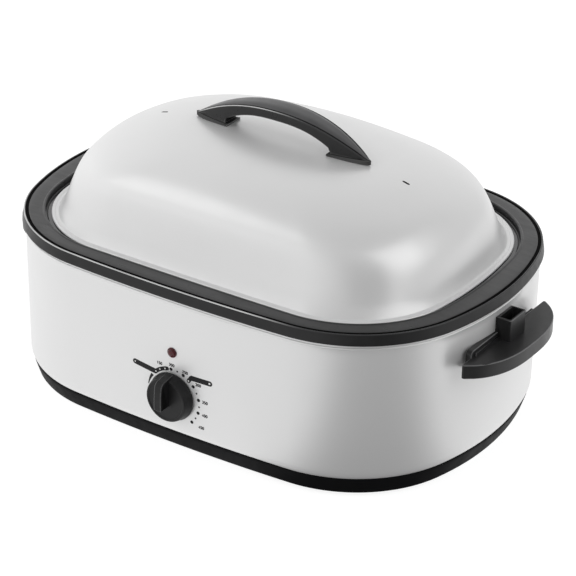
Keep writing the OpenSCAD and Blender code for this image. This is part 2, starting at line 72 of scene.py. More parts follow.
# ------------------------------------------------------------------ node helpers
class Mat:
    def __init__(self, name):
        self.m = bpy.data.materials.new(name)
        self.m.use_nodes = True
        self.nt = self.m.node_tree
        self.nt.nodes.clear()
        self.out = self.new("ShaderNodeOutputMaterial")
        self.b = self.new("ShaderNodeBsdfPrincipled")
        self.nt.links.new(self.b.outputs[0], self.out.inputs[0])
        self.tc = self.new("ShaderNodeTexCoord")
        self.x = 0

    def new(self, kind):
        n = self.nt.nodes.new(kind)
        n.location = (len(self.nt.nodes) * 40, len(self.nt.nodes) * -20)
        return n

    def link(self, a, b):
        self.nt.links.new(a, b)

    def scaled(self, s):
        """Object coordinates, in mm times s per axis."""
        n = self.new("ShaderNodeMapping")
        n.inputs["Scale"].default_value = tuple(1000.0 * v for v in (s if hasattr(s, "__len__") else (s, s, s)))
        self.link(self.tc.outputs["Object"], n.inputs["Vector"])
        return n.outputs["Vector"]

    def noise(self, s, detail=3.0, rough=0.5, distort=0.0):
        n = self.new("ShaderNodeTexNoise")
        n.inputs["Scale"].default_value = 1.0
        n.inputs["Detail"].default_value = detail
        n.inputs["Roughness"].default_value = rough
        n.inputs["Distortion"].default_value = distort
        self.link(self.scaled(s), n.inputs["Vector"])
        return n.outputs["Fac"]

    def voronoi(self, s, feature="F1", rand=1.0):
        n = self.new("ShaderNodeTexVoronoi")
        n.feature = feature
        n.inputs["Scale"].default_value = 1.0
        n.inputs["Randomness"].default_value = rand
        self.link(self.scaled(s), n.inputs["Vector"])
        return n.outputs["Distance"]

    def wave(self, s, distort=0.0, kind="BANDS", axis="X"):
        n = self.new("ShaderNodeTexWave")
        n.wave_type = kind
        n.bands_direction = axis
        n.inputs["Scale"].default_value = 1.0
        n.inputs["Distortion"].default_value = distort
        n.inputs["Detail"].default_value = 2.0
        self.link(self.scaled(s), n.inputs["Vector"])
        return n.outputs["Fac"]

    def remap(self, src, a, b, lo, hi, smooth=False):
        n = self.new("ShaderNodeMapRange")
        n.interpolation_type = "SMOOTHSTEP" if smooth else "LINEAR"
        n.inputs["From Min"].default_value = a
        n.inputs["From Max"].default_value = b
        n.inputs["To Min"].default_value = lo
        n.inputs["To Max"].default_value = hi
        self.link(src, n.inputs["Value"])
        return n.outputs["Result"]

    def mixc(self, fac, c1, c2):
        n = self.new("ShaderNodeMix")
        n.data_type = "RGBA"
        if isinstance(fac, float):
            n.inputs[0].default_value = fac
        else:
            self.link(fac, n.inputs[0])
        for c, i in ((c1, 6), (c2, 7)):
            if isinstance(c, tuple):
                n.inputs[i].default_value = (*c, 1.0)
            else:
                self.link(c, n.inputs[i])
        return n.outputs[2]

    def math(self, op, a, b=None):
        n = self.new("ShaderNodeMath")
        n.operation = op
        for v, i in ((a, 0), (b, 1)):
            if v is None:
                continue
            if isinstance(v, (int, float)):
                n.inputs[i].default_value = v
            else:
                self.link(v, n.inputs[i])
        return n.outputs[0]

    def color(self, src):
        self.link(src, self.b.inputs["Base Color"])

    def rough(self, src):
        self.link(src, self.b.inputs["Roughness"])

    def bumps(self, layers):
        """layers: (height output, depth in mm)."""
        last = None
        for h, depth in layers:
            n = self.new("ShaderNodeBump")
            n.inputs["Strength"].default_value = 1.0
            n.inputs["Distance"].default_value = depth * MM
            self.link(h, n.inputs["Height"])
            if last is not None:
                self.link(last, n.inputs["Normal"])
            last = n.outputs["Normal"]
        self.link(last, self.b.inputs["Normal"])

    def axis(self, name):
        n = self.new("ShaderNodeSeparateXYZ")
        self.link(self.scaled(1.0), n.inputs[0])
        return n.outputs[name]

    def pointed(self):
        g = self.new("ShaderNodeNewGeometry")
        return g.outputs["Pointiness"]

    def set(self, **k):
        for name, v in k.items():
            s = self.b.inputs[name.replace("_", " ")]
            s.default_value = (*v, 1.0) if isinstance(v, tuple) and len(v) == 3 else v


def paint(name, tone):
    m = Mat(name)
    big = m.noise(0.006, 2.0)
    flake = m.noise(1.7, 2.0, 0.6)
    c = m.mixc(m.remap(big, 0.3, 0.7, 0.0, 1.0), tuple(t * 0.985 for t in tone), tone)
    c = m.mixc(m.remap(flake, 0.35, 0.7, 0.0, 0.07), c, (0.55, 0.56, 0.57))
    m.color(c)
    m.rough(m.remap(m.noise(0.05, 3.0), 0.3, 0.7, 0.31, 0.36))
    m.bumps([(m.noise(0.32, 2.0), 0.008), (m.noise(1.6, 1.0), 0.003)])
    m.set(Metallic=0.35, IOR=1.5)
    return m.m


def plastic(name, tone, r=(0.26, 0.35), grain=0.008, scale=1.6, coat=0.0, edge_glint=0.17, ior=1.42):
    m = Mat(name)
    g = m.noise(0.05, 4.0, 0.6)
    c = m.mixc(m.remap(g, 0.3, 0.7, 0.0, 1.0), tuple(t * 0.86 for t in tone), tuple(t * 1.18 for t in tone))
    m.color(m.mixc(m.remap(m.pointed(), 0.52, 0.59, 0.0, 1.0), c, (edge_glint, edge_glint, edge_glint)))   # painted highlight: convex edges lightened by pointiness, standing in for light caught on the edges
    m.rough(m.remap(m.noise(0.11, 4.0), 0.3, 0.7, r[0], r[1]))
    m.bumps([(m.noise(scale, 2.0), grain), (m.noise(0.35, 2.0), grain * 0.8)])
    m.set(IOR=ior, Coat_Weight=coat, Coat_Roughness=0.25)
    return m.m


def metal(name, tone, r=(0.28, 0.42), grain=(0.9, 0.03, 0.03), depth=0.004, spots=0.0):
    m = Mat(name)
    streak = m.noise(grain, 3.0, 0.6)
    c = m.mixc(m.remap(streak, 0.3, 0.7, 0.0, 1.0), tuple(t * 0.86 for t in tone), tone)
    if spots:
        c = m.mixc(m.remap(m.voronoi(0.22), 0.2, 0.9, 0.0, spots), c, tuple(t * 0.6 for t in tone))
    m.color(c)
    m.rough(m.remap(m.noise(0.2, 3.0), 0.3, 0.7, r[0], r[1]))
    m.bumps([(streak, depth)])
    m.set(Metallic=1.0)
    return m.m


PAINT = (0.80, 0.80, 0.80)
MAT = {}
MAT["body"] = paint("body_paint", tuple(t * 0.97 for t in PAINT) if hasattr(PAINT, "__len__") else PAINT * 0.97)
MAT["lid"] = paint("lid_paint", tuple(min(t * 1.03, 0.95) for t in PAINT) if hasattr(PAINT, "__len__") else PAINT * 1.06)
MAT["black"] = plastic("moulded_black", (0.016, 0.016, 0.0165), edge_glint=0.22, ior=1.40)
MAT["wing"] = plastic("wing_black", (0.021, 0.021, 0.0215), r=(0.28, 0.37), edge_glint=0.0, ior=1.40)
# lighter materials for the rounded edges of the wing and the knob: painted highlight
MAT["wing_glint"] = plastic("wing_edge_highlight", (0.15, 0.15, 0.153), r=(0.30, 0.38), edge_glint=0.0, ior=1.5)
MAT["knob_glint"] = plastic("knob_edge_highlight", (0.045, 0.045, 0.046), r=(0.24, 0.32), edge_glint=0.0, ior=1.5)
# near-black, dull material for the faces of the rim's groove: painted shade in the recess
MAT["void"] = plastic("groove_painted_shade", (0.003, 0.003, 0.003), r=(0.7, 0.8), edge_glint=0.0, ior=1.15)
MAT["base"] = plastic("base_black", (0.006, 0.006, 0.0065), r=(0.48, 0.60), edge_glint=0.0, ior=1.15)
MAT["knob"] = plastic("knob_black", (0.007, 0.007, 0.0075), r=(0.40, 0.50), grain=0.004, edge_glint=0.0, ior=1.36)
MAT["rubber"] = plastic("rubber_black", (0.020, 0.020, 0.020), r=(0.62, 0.78), grain=0.02, scale=1.1)
MAT["zinc"] = metal("zinc_plate", (0.62, 0.63, 0.65), spots=0.25)
MAT["well"] = metal("aluminised_steel", (0.60, 0.60, 0.59), r=(0.34, 0.5), spots=0.4)
MAT["chrome"] = metal("plated_wire", (0.78, 0.78, 0.79), r=(0.12, 0.22), grain=(0.4, 0.4, 0.4), depth=0.002)
MAT["brass"] = metal("plain_brass", (0.72, 0.55, 0.26), r=(0.25, 0.4))

# rim: dark satin enamel with faint long streaks
m = Mat("rim_dark")
streak = m.noise((0.02, 0.16, 0.16), 4.0, 0.65, 0.4)
cloud = m.noise(0.035, 4.0, 0.6)
m.color(m.mixc(m.remap(cloud, 0.3, 0.7, 0.0, 1.0), (0.018, 0.018, 0.0185), (0.034, 0.034, 0.035)))
m.rough(m.remap(streak, 0.3, 0.7, 0.26, 0.42))
m.bumps([(m.noise(0.5, 3.0), 0.012), (m.noise(2.2, 2.0), 0.004)])
m.set(IOR=1.5)
MAT["rim"] = m.m
MAT["rimside"] = plastic("rim_side", (0.016, 0.016, 0.0165), r=(0.34, 0.44), edge_glint=0.05, ior=1.34)
# lighter black for the grip's top faces: a painted sheen from the light above
MAT["satin"] = plastic("grip_top_painted_sheen", (0.066, 0.066, 0.068), r=(0.34, 0.42), edge_glint=0.06, ior=1.55)

# painted highlight: bright edge lines on the rim along its front and on the grip towards its left end, fading to dark
# along X
for key, ax, lo_, hi_, tone in (("edge", "X", 80.0, 150.0, 0.52), ("grip_lip_glint", "X", -30.0, 40.0, 0.46)):
    m = Mat("painted_highlight_" + key)
    n = m.noise((0.02, 0.04, 0.04), 2.0, 0.5)
    fade = m.remap(m.axis(ax), lo_, hi_, 0.0, 1.0, True)
    c = m.mixc(m.remap(n, 0.3, 0.7, 0.0, 1.0), (tone * 0.8,) * 3, (tone * 1.15,) * 3)
    m.color(m.mixc(fade, c, (0.035, 0.035, 0.036)))
    m.link(m.math("MULTIPLY", m.math("SUBTRACT", 1.0, fade), 0.85), m.b.inputs["Metallic"])
    m.rough(m.remap(n, 0.3, 0.7, 0.22, 0.32))
    m.bumps([(m.noise(0.6, 2.0), 0.004)])
    m.set(IOR=1.42)
    MAT[key] = m.m

# pan: glossy dark enamel with pale speckle
m = Mat("speckled_enamel")
sp = m.voronoi(0.55)
c = m.mixc(m.remap(m.noise(0.02, 3.0), 0.3, 0.7, 0.0, 1.0), (0.018, 0.018, 0.021), (0.030, 0.030, 0.034))
m.color(m.mixc(m.remap(sp, 0.10, 0.16, 0.55, 0.0), c, (0.42, 0.43, 0.45)))
m.rough(m.remap(m.noise(0.1, 3.0), 0.3, 0.7, 0.10, 0.18))
m.bumps([(m.noise(0.12, 2.0), 0.03)])
m.set(IOR=1.55, Coat_Weight=0.3, Coat_Roughness=0.08)
MAT["enamel"] = m.m

# needled glass-fibre mat
m = Mat("glass_fibre_mat")
f = m.noise((0.5, 0.5, 1.6), 6.0, 0.75, 1.5)
m.color(m.mixc(m.remap(f, 0.3, 0.7, 0.0, 1.0), (0.55, 0.50, 0.38), (0.86, 0.83, 0.72)))
m.rough(m.remap(f, 0.3, 0.7, 0.85, 1.0))
m.bumps([(f, 0.5)])
m.set(Sheen_Weight=0.3, Sheen_Roughness=0.5)
MAT["fibre"] = m.m

# woven heating band and braided sleeves
for key, lo, hi, s in (("heater", (0.30, 0.26, 0.19), (0.60, 0.54, 0.42), 0.9),
                       ("sleeve", (0.50, 0.46, 0.38), (0.82, 0.78, 0.70), 1.6)):
    m = Mat("woven_" + key)
    w = m.math("MULTIPLY", m.wave((s, s, s), 0.3, "BANDS", "DIAGONAL"), m.wave((s, s, -s), 0.3, "BANDS", "DIAGONAL"))
    m.color(m.mixc(m.remap(w, 0.1, 0.7, 0.0, 1.0), lo, hi))
    m.rough(m.remap(m.noise(0.4), 0.3, 0.7, 0.7, 0.95))
    m.bumps([(w, 0.12)])
    MAT[key] = m.m

# steatite
m = Mat("steatite")
n = m.noise(0.25, 5.0, 0.6)
m.color(m.mixc(m.remap(n, 0.3, 0.7, 0.0, 1.0), (0.70, 0.67, 0.60), (0.86, 0.84, 0.78)))
m.rough(m.remap(n, 0.3, 0.7, 0.5, 0.75))
m.bumps([(m.noise(1.5, 4.0), 0.03)])
MAT["ceramic"] = m.m

# red lens: deep red, moulded facets inside
m = Mat("red_lens")
n = m.voronoi(0.9)
m.color(m.mixc(m.remap(n, 0.2, 0.8, 0.0, 1.0), (0.10, 0.002, 0.005), (0.028, 0.001, 0.003)))
m.rough(m.remap(m.noise(0.8), 0.3, 0.7, 0.08, 0.16))
m.bumps([(n, 0.02)])
m.set(IOR=1.40, Coat_Weight=0.2, Coat_Roughness=0.05)
MAT["lens"] = m.m

m = Mat("lamp_glass")
n = m.noise(0.5)
m.color(m.mixc(m.remap(n, 0.3, 0.7, 0.0, 1.0), (0.80, 0.42, 0.26), (0.92, 0.62, 0.45)))
m.rough(m.remap(n, 0.3, 0.7, 0.05, 0.15))
m.bumps([(n, 0.01)])
m.set(Transmission_Weight=0.6)
MAT["lamp"] = m.m

# screen-printed ink
m = Mat("printed_ink")
n = m.noise(2.5, 3.0)
m.color(m.mixc(m.remap(n, 0.3, 0.7, 0.0, 1.0), (0.012, 0.012, 0.013), (0.030, 0.030, 0.031)))
m.rough(m.remap(n, 0.3, 0.7, 0.42, 0.6))
m.bumps([(n, 0.005)])
m.set(IOR=1.2)
MAT["ink"] = m.m
m = Mat("printed_white")
n = m.noise(2.5, 3.0)
m.color(m.mixc(m.remap(n, 0.3, 0.7, 0.0, 1.0), (0.72, 0.72, 0.71), (0.84, 0.84, 0.83)))
m.rough(m.remap(n, 0.3, 0.7, 0.42, 0.6))
m.bumps([(n, 0.005)])
MAT["white_ink"] = m.m


# ------------------------------------------------------------------ mesh helpers
def add_mesh(name, verts, faces, mats, angle=38.0, face_mat=None):
    """verts in mm, CAD frame."""
    me = bpy.data.meshes.new(name)
    v = np.asarray(verts, float) * MM
    me.from_pydata(v.tolist(), [], [tuple(int(i) for i in f) for f in faces])
    me.validate()
    for x in (mats if isinstance(mats, (list, tuple)) else [mats]):
        me.materials.append(x)
    if face_mat is not None:
        me.polygons.foreach_set("material_index", np.asarray(face_mat, np.int32))
    me.shade_smooth()
    me.update()
    me.set_sharp_from_angle(angle=D(angle))
    ob = bpy.data.objects.new(name, me)
    sc.collection.objects.link(ob)
    return ob


def place(ob, body, slot, *nodes):
    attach(ob, body)
    if nodes:
        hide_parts(*nodes)
    return ob


def apply_mods(ob, angle=38.0):
    dg = bpy.context.evaluated_depsgraph_get()
    me = bpy.data.meshes.new_from_object(ob.evaluated_get(dg))
    old = ob.data
    ob.modifiers.clear()
    ob.data = me
    bpy.data.meshes.remove(old)
    me.shade_smooth()
    me.set_sharp_from_angle(angle=D(angle))
    return ob


def flat_faces(ob):
    """Shading normals weighted by face area, so that flats stay flat beside small roundings."""
    md = ob.modifiers.new("wn", "WEIGHTED_NORMAL")
    md.mode = "FACE_AREA"
    md.weight = 100
    md.keep_sharp = True
    dg = bpy.context.evaluated_depsgraph_get()
    me = bpy.data.meshes.new_from_object(ob.evaluated_get(dg))
    old = ob.data
    ob.modifiers.clear()
    ob.data = me
    bpy.data.meshes.remove(old)
    return ob


def boolean(ob, other, op, angle=38.0, keep=False):
    md = ob.modifiers.new("b", "BOOLEAN")
    md.operation = op
    md.solver = "EXACT"
    md.material_mode = "TRANSFER"
    md.object = other
    bpy.context.view_layer.update()
    apply_mods(ob, angle)
    if not keep:
        bpy.data.objects.remove(other)
    return ob


def flip_if_inside(ob):
    bm = bmesh.new()
    bm.from_mesh(ob.data)
    bmesh.ops.recalc_face_normals(bm, faces=bm.faces)
    bm.to_mesh(ob.data)
    bm.free()
    return ob


def plan(a, b, r, sx, sy):
    R1 = (a * a + sx * sx) / (2 * sx)
    R2 = (b * b + sy * sy) / (2 * sy)
    y1, x2, p, q = R1 - b, a - R2, R1 - r, R2 - r
    d = math.hypot(x2, y1)
    t = (p * p - q * q + d * d) / (2 * d)
    h = math.sqrt(p * p - t * t)
    ux, uy = x2 / d, -y1 / d
    c = [(ux * t - uy * h, y1 + uy * t + ux * h), (ux * t + uy * h, y1 + uy * t - ux * h)]
    cx, cy = max(c, key=lambda k: k[0] - k[1])
    return dict(R1=R1, y1=y1, R2=R2, x2=x2, cx=cx, cy=cy, r=r,
                t1=math.atan2(cy - y1, cx), t2=math.atan2(cy, cx - x2))


OUT = plan(266.8, 189.6, 139, 18.3, 65)
INN = plan(240.8, 165.9, 116.5, 4, 32.4)


def contour(P, n1=30, n2=40, n3=22, xs=(), ys=()):
    """Base points and outward normals round the plan, anticlockwise from the front middle. xs, ys are extra stations."""
    a1 = sorted(set(np.round(np.concatenate([
        np.linspace(-math.pi / 2, P["t1"], n1, endpoint=False),
        [-math.pi / 2 + math.asin(abs(x) / P["R1"]) for x in xs]]), 9)))
    a2 = np.linspace(P["t1"], P["t2"], n2, endpoint=False)
    a3 = sorted(set(np.round(np.concatenate([
        np.linspace(P["t2"], 0, n3 + 1),
        [-math.asin(abs(y) / P["R2"]) for y in ys]]), 9)))
    q = []
    for t in a1:
        q.append((P["R1"] * math.cos(t), P["y1"] + P["R1"] * math.sin(t), math.cos(t), math.sin(t)))
    for t in a2:
        q.append((P["cx"] + P["r"] * math.cos(t), P["cy"] + P["r"] * math.sin(t), math.cos(t), math.sin(t)))
    for t in a3:
        q.append((P["x2"] + P["R2"] * math.cos(t), P["R2"] * math.sin(t), math.cos(t), math.sin(t)))
    q[0] = (0.0, q[0][1], 0.0, -1.0)
    q[-1] = (q[-1][0], 0.0, 1.0, 0.0)
    q = np.array(q)
    back_ = (q * [1, -1, 1, -1])[::-1][1:]
    half = np.vstack([q, back_])
    left = (half * [-1, 1, -1, 1])[::-1][1:-1]
    a = np.vstack([half, left])
    return a[:, :2], a[:, 2:]


def ring(C, o, z):
    B, N = C
    p = B + N * (np.asarray(o)[..., None] if np.ndim(o) else o)
    return np.column_stack([p[:, 0], p[:, 1] + CY, np.full(len(p), float(z))])


def side_y(P, o, x):
    return -P["y1"] + math.sqrt((P["R1"] + o) ** 2 - x * x)


def fillet(pts, rad, seg=5):
    """Rounds the corners of an open profile. rad: one radius per point (ends ignored)."""
    out = [np.array(pts[0], float)]
    P = [np.array(p, float) for p in pts]
    for i in range(1, len(P) - 1):
        r = rad[i] if hasattr(rad, "__len__") else rad
        a, b, c = P[i - 1], P[i], P[i + 1]
        u = (a - b) / np.linalg.norm(a - b)
        v = (c - b) / np.linalg.norm(c - b)
        cosang = float(np.clip(np.dot(u, v), -1, 1))
        ang = math.acos(cosang)
        if r <= 0 or ang > math.pi - 0.03:
            out.append(b)
            continue
        d = min(r / math.tan(ang / 2), 0.48 * np.linalg.norm(a - b), 0.48 * np.linalg.norm(c - b))
        rr = d * math.tan(ang / 2)
        mid = (u + v) / np.linalg.norm(u + v)
        cen = b + mid * (rr / math.sin(ang / 2))
        p0, p1 = b + u * d, b + v * d
        a0 = math.atan2(*(p0 - cen)[::-1])
        a1 = math.atan2(*(p1 - cen)[::-1])
        da = (a1 - a0 + math.pi) % (2 * math.pi) - math.pi
        for k in range(seg + 1):
            t = a0 + da * k / seg
            out.append(cen + rr * np.array([math.cos(t), math.sin(t)]))
    out.append(P[-1])
    return [tuple(p) for p in out]


def fillet_loop(pts, rad, seg=5):
    """The same for a closed profile."""
    n = len(pts)
    r = list(rad) if hasattr(rad, "__len__") else [rad] * n
    m0 = tuple((np.array(pts[-1], float) + np.array(pts[0], float)) / 2)
    f = fillet([m0] + list(pts) + [m0], [0] + r + [0], seg)
    return f[:-1]


def loft(rings, closed=True, cuts=()):
    """Quads between rings of the same length. cuts: (i0, i1, j0, j1) cells to leave out."""
    m, n = len(rings[0]), len(rings)
    V = np.vstack(rings)
    F = []
    gone = set()
    for i0, i1, j0, j1 in cuts:
        for i in range(i0, i1):
            for j in range(j0, j1):
                gone.add((i, j % m))
    for i in range(n if closed else n - 1):
        k = (i + 1) % n
        for j in range(m):
            if (i, j) in gone:
                continue
            l = (j + 1) % m
            F.append((i * m + j, i * m + l, k * m + l, k * m + j))
    return V, F


def spline(t, y, tt):
    """Natural cubic spline."""
    t, y = np.asarray(t, float), np.asarray(y, float)
    n = len(t)
    h = np.diff(t)
    A = np.zeros((n, n))
    rhs = np.zeros(n)
    A[0, 0] = A[-1, -1] = 1
    for i in range(1, n - 1):
        A[i, i - 1], A[i, i], A[i, i + 1] = h[i - 1], 2 * (h[i - 1] + h[i]), h[i]
        rhs[i] = 6 * ((y[i + 1] - y[i]) / h[i] - (y[i] - y[i - 1]) / h[i - 1])
    mm = np.linalg.solve(A, rhs)
    i = np.clip(np.searchsorted(t, tt) - 1, 0, n - 2)
    a, b = (t[i + 1] - tt) / h[i], (tt - t[i]) / h[i]
    return a * y[i] + b * y[i + 1] + ((a ** 3 - a) * mm[i] + (b ** 3 - b) * mm[i + 1]) * h[i] ** 2 / 6


# ------------------------------------------------------------------ case
PX, KZ, LZ = -2.0, 65.4, 114.7
S = CY


def wrap_off(z):
    """The wall's outward offset from the plan at height z."""
    return float(np.interp(z, [22.7, 24.1, 26.7, 30.7, 171.5, 180], [-6.2, -4.4, -3.2, -2.6, -1.0, -1.0]))


def make_wrap():
    hx = [1.0, 3.0, 5.3, 7.0, 9.0]
    C = contour(OUT, 36, 44, 24, xs=[PX + 3.2, PX - 3.2, 6.6], ys=[-12.5 + 3, -7.5 + 3, 5.5 - 3, 10.5 - 3, 14.5 - 3, 3.5 + 3, 8.2 + 3, -3.5 + 3])
    foot = fillet([(-6.2, 22.7), (-4.6, 24.0), (-3.2, 26.7), (-2.62, 30.7), (-2.45, 44)], [0, 2.5, 6, 12, 0], 5)
    zs = [50.0, KZ - 3.2, KZ + 3.2, 82, 98, LZ - 3.2, LZ + 3.2, 126, 127.7, 132.3, 140, 152, 162]
    prof = list(foot) + [(wrap_off(z), z) for z in zs]
    # rolled bead just under the rim
    prof += [(-1.08, 168.2)] + [(-1.25 + 1.25 * math.cos(t), 170.2 + 1.5 * math.sin(t))
                                 for t in np.linspace(-1.25, 1.35, 9)] + [(-1.1, 172.2), (-1.0, 175.0), (-1.0, 180.0)]
    # back wall of the sheet, at the same heights
    t = 1.0
    inner = []
    for o, z in prof:
        oo = wrap_off(z) - t if z > 30 else o - t * 1.25
        inner.append((oo, z if z > 24 else z))
    P = prof + inner[::-1]
    R = [ring(C, o, z) for o, z in P]
    n, K = len(P), len(prof)
    B = C[0]
    m = len(B)
    zz = [p[1] for p in prof]

    def row(z):
        return min(range(K), key=lambda i: abs(zz[i] - z))

    def cols(x0, x1, front=True):
        idx = [j for j in range(m) if (B[j, 1] < 0) == front and x0 - 0.3 <= B[j, 0] <= x1 + 0.3]
        if front:
            right = sorted(j for j in idx if j < m // 2)
            left = sorted(j for j in idx if j >= m // 2)
            idx = left + right
        else:
            idx = sorted(idx)
        return idx[0], idx[-1], len(idx)

    holes = []
    for z in (KZ, LZ):
        a, b, _ = cols(PX - 3.2, PX + 3.2)
        holes.append((row(z - 3.2), row(z + 3.2), a, b))
    V, F = loft(R, True)
    F = set(F)
    add = []
    for i0, i1, a, b in holes:
        js = []
        j = a
        while j != b:
            js.append(j)
            j = (j + 1) % m
        for i in range(i0, i1):
            for j in js:
                l = (j + 1) % m
                F.discard((i * m + j, i * m + l, (i + 1) * m + l, (i + 1) * m + j))
                a_, b_ = n - 1 - i, n - 2 - i
                F.discard((b_ * m + j, b_ * m + l, a_ * m + l, a_ * m + j))
        inn = lambda i: n - 1 - i
        for i in range(i0, i1):
            add.append((i * m + a, (i + 1) * m + a, inn(i + 1) * m + a, inn(i) * m + a))
            add.append(((i + 1) * m + b, i * m + b, inn(i) * m + b, inn(i + 1) * m + b))
        for j in js:
            l = (j + 1) % m
            add.append((i0 * m + l, i0 * m + j, inn(i0) * m + j, inn(i0) * m + l))
            add.append((i1 * m + j, i1 * m + l, inn(i1) * m + l, inn(i1) * m + j))
    F = sorted(F) + add
    ob = add_mesh("case_wrap", V, F, MAT["body"], 40)
    # cord entry and the screw holes behind the handles
    for k, (sz, c) in enumerate([((12.6, 14, 9.0), (0, 187 + CY, 48))] + [((16, 4.4, 4.4), (s * 265.5, y - 3 + CY, 130)) for s in (-1, 1) for y in (-9, 9)]):
        v, f = [], [(0, 1, 3, 2), (4, 6, 7, 5), (0, 4, 5, 1), (2, 3, 7, 6), (0, 2, 6, 4), (1, 5, 7, 3)]
        for a in (-1, 1):
            for b in (-1, 1):
                for cc in (-1, 1):
                    v.append((c[0] + a * sz[0] / 2, c[1] + b * sz[1] / 2, c[2] + cc * sz[2] / 2))
        cut = flip_if_inside(add_mesh("cut", v, f, MAT["body"]))
        boolean(ob, cut, "DIFFERENCE", 40)
    return place(ob, "case", "body_paint", "outer_wrap")


make_wrap()


def make_rim():
    Co = contour(OUT, 36, 44, 24)
    Ci = contour(INN, 36, 44, 24)
    side_ = fillet([(-0.7, 177.2), (-0.7, 175.0), (2.3, 174.8), (2.25, 176.4), (0.95, 184.2), (0.72, 185.2)], [0, 0.5, 1.2, 3, 2, 0], 5)
    bead = [(-0.35 + 1.05 * math.cos(D(t)), 185.7 + 1.05 * math.sin(D(t))) for t in np.linspace(-12, 150, 12)]
    outer = side_ + bead + [(-1.5, 185.8), (-1.75, 185.3), (-2.0, 185.1), (-4.3, 185.1), (-4.5, 185.3), (-4.65, 186.1), (-4.9, 186.45), (-5.5, 186.6), (-9.5, 186.8)]
    inner = fillet([(8.0, 186.8), (2.9, 186.75), (1.9, 187.4), (0.0, 187.4), (0.0, 180.0), (-7.0, 180.0), (-7.0, 177.6), (2.8, 177.6), (2.8, 184.2)],
                   [0, 1.2, 0.7, 0.8, 1.2, 0.6, 0.6, 0.8, 0], 5)
    under = [(-6.0, 184.2), (-3.2, 182.4), (-0.7, 181.0)]
    R = [ring(Co, o, z) for o, z in outer] + [ring(Ci, o, z) for o, z in inner] + [ring(Co, o, z) for o, z in under]
    V, F = loft(R, True)
    k0 = len(side_)
    # bead faces take the bright edge material: a painted highlight line
    fm_ = [1 if k0 + 2 <= i < k0 + 8 else (2 if i < k0 + 2 else (3 if k0 + 11 <= i < k0 + 17 else 0)) for i in range(len(R)) for _ in range(len(Co[0]))]
    # groove faces take the near-black groove material: painted shade
    return place(add_mesh("rim_band", V, F, [MAT["rim"], MAT["edge"], MAT["rimside"], MAT["void"]], 42, fm_), "case", "rim_black", "top_rim")


make_rim()


def make_base():
    C = contour(OUT, 36, 44, 24)
    prof = fillet_loop([(-14.6, 4.0), (-11.0, 4.0), (-9.6, 6.0), (-7.0, 14.0), (-5.2, 20.0), (-5.0, 22.7), (-9.5, 22.7), (-10.5, 17.0),
                        (-13.0, 11.5), (-25.0, 11.5), (-25.0, 9.0), (-14.2, 9.0)],
                       [0.8, 1.2, 2, 8, 6, 0.8, 0.6, 1, 1, 0.6, 0.3, 0.5], 4)
    V, F = loft([ring(C, o, z) for o, z in prof], True)
    ob = add_mesh("base_skirt", V, F, MAT["base"], 40)
    return place(ob, "case", "black_plastic", "base_ring")


make_base()


def tray(name, prof, mat, slot, body, node, C=None, angle=40):
    """A tray: profile from the middle of the underside, over the rim, to the middle of the inside. Ends in caps."""
    C = C or contour(INN, 30, 40, 22)
    R = [ring(C, o, z) for o, z in prof]
    m = len(C[0])
    # floors: shrink the first and last contour towards the centre
    cen = np.array([0, CY, 0])

    def floor(r0):
        out = []
        for k in (0.8, 0.55, 0.3, 0.08):
            q = r0.copy()
            q[:, 0] = r0[:, 0] * k
            q[:, 1] = CY + (r0[:, 1] - CY) * k
            out.append(q)
        return out
    lo = floor(R[0])[::-1]
    hi = floor(R[-1])
    R = lo + R + hi
    V, F = loft(R, False)
    n = len(R)
    F.append(tuple(range(m - 1, -1, -1)))
    F.append(tuple((n - 1) * m + j for j in range(m)))
    ob = flip_if_inside(add_mesh(name, V, F, mat, angle))
    return place(ob, body, slot, node)


def arc(cx, cz, r, a0, a1, n):
    return [(cx + r * math.cos(D(a0 + (a1 - a0) * i / n)), cz + r * math.sin(D(a0 + (a1 - a0) * i / n))) for i in range(n + 1)]


tray("roast_pan", arc(-46, 56, 20, -90, 0, 10) + fillet([(-26, 90), (-21.6, 177.6), (-20.3, 180.3), (-4.0, 180.3), (-2.3, 179.9), (-2.0, 180.9), (-2.6, 181.5), (-20.9, 181.5), (-22.8, 178.5), (-27.2, 90)],
                                                        [0, 3, 1.5, 1, .5, .5, .6, 2.2, 3, 0], 4) + arc(-46, 56, 18.8, 0, -90, 10),
     MAT["enamel"], "enamel", "pan", "cooking_pan")
tray("well_liner", arc(-29, 44, 16, -90, 0, 9) + fillet([(-13, 90), (-13, 176.4), (1.5, 176.4), (1.5, 177.4), (-14, 177.4), (-14, 90)], [0, 1.5, .3, .3, 2.5, 0], 4) + arc(-29, 44, 15, 0, -90, 9),
     MAT["well"], "well_steel", "case", "heat_well")

# ------------------------------------------------------------------ lid
FZ, Z0, RISE, LT, FO = 183.1, 184.6, 95.5, 1.2, -16.0
FA, FB = 240.8 + FO, 165.9 + FO
DOME = [[0, 1, 1], [0.126, 0.991, 0.965], [0.25, 0.979, 0.941], [0.377, 0.963, 0.925], [0.49, 0.941, 0.914],
        [0.6, 0.906, 0.898], [0.69, 0.862, 0.86], [0.775, 0.79, 0.805], [0.843, 0.71, 0.735], [0.9, 0.62, 0.65],
        [0.948, 0.49, 0.52], [0.982, 0.305, 0.32]]


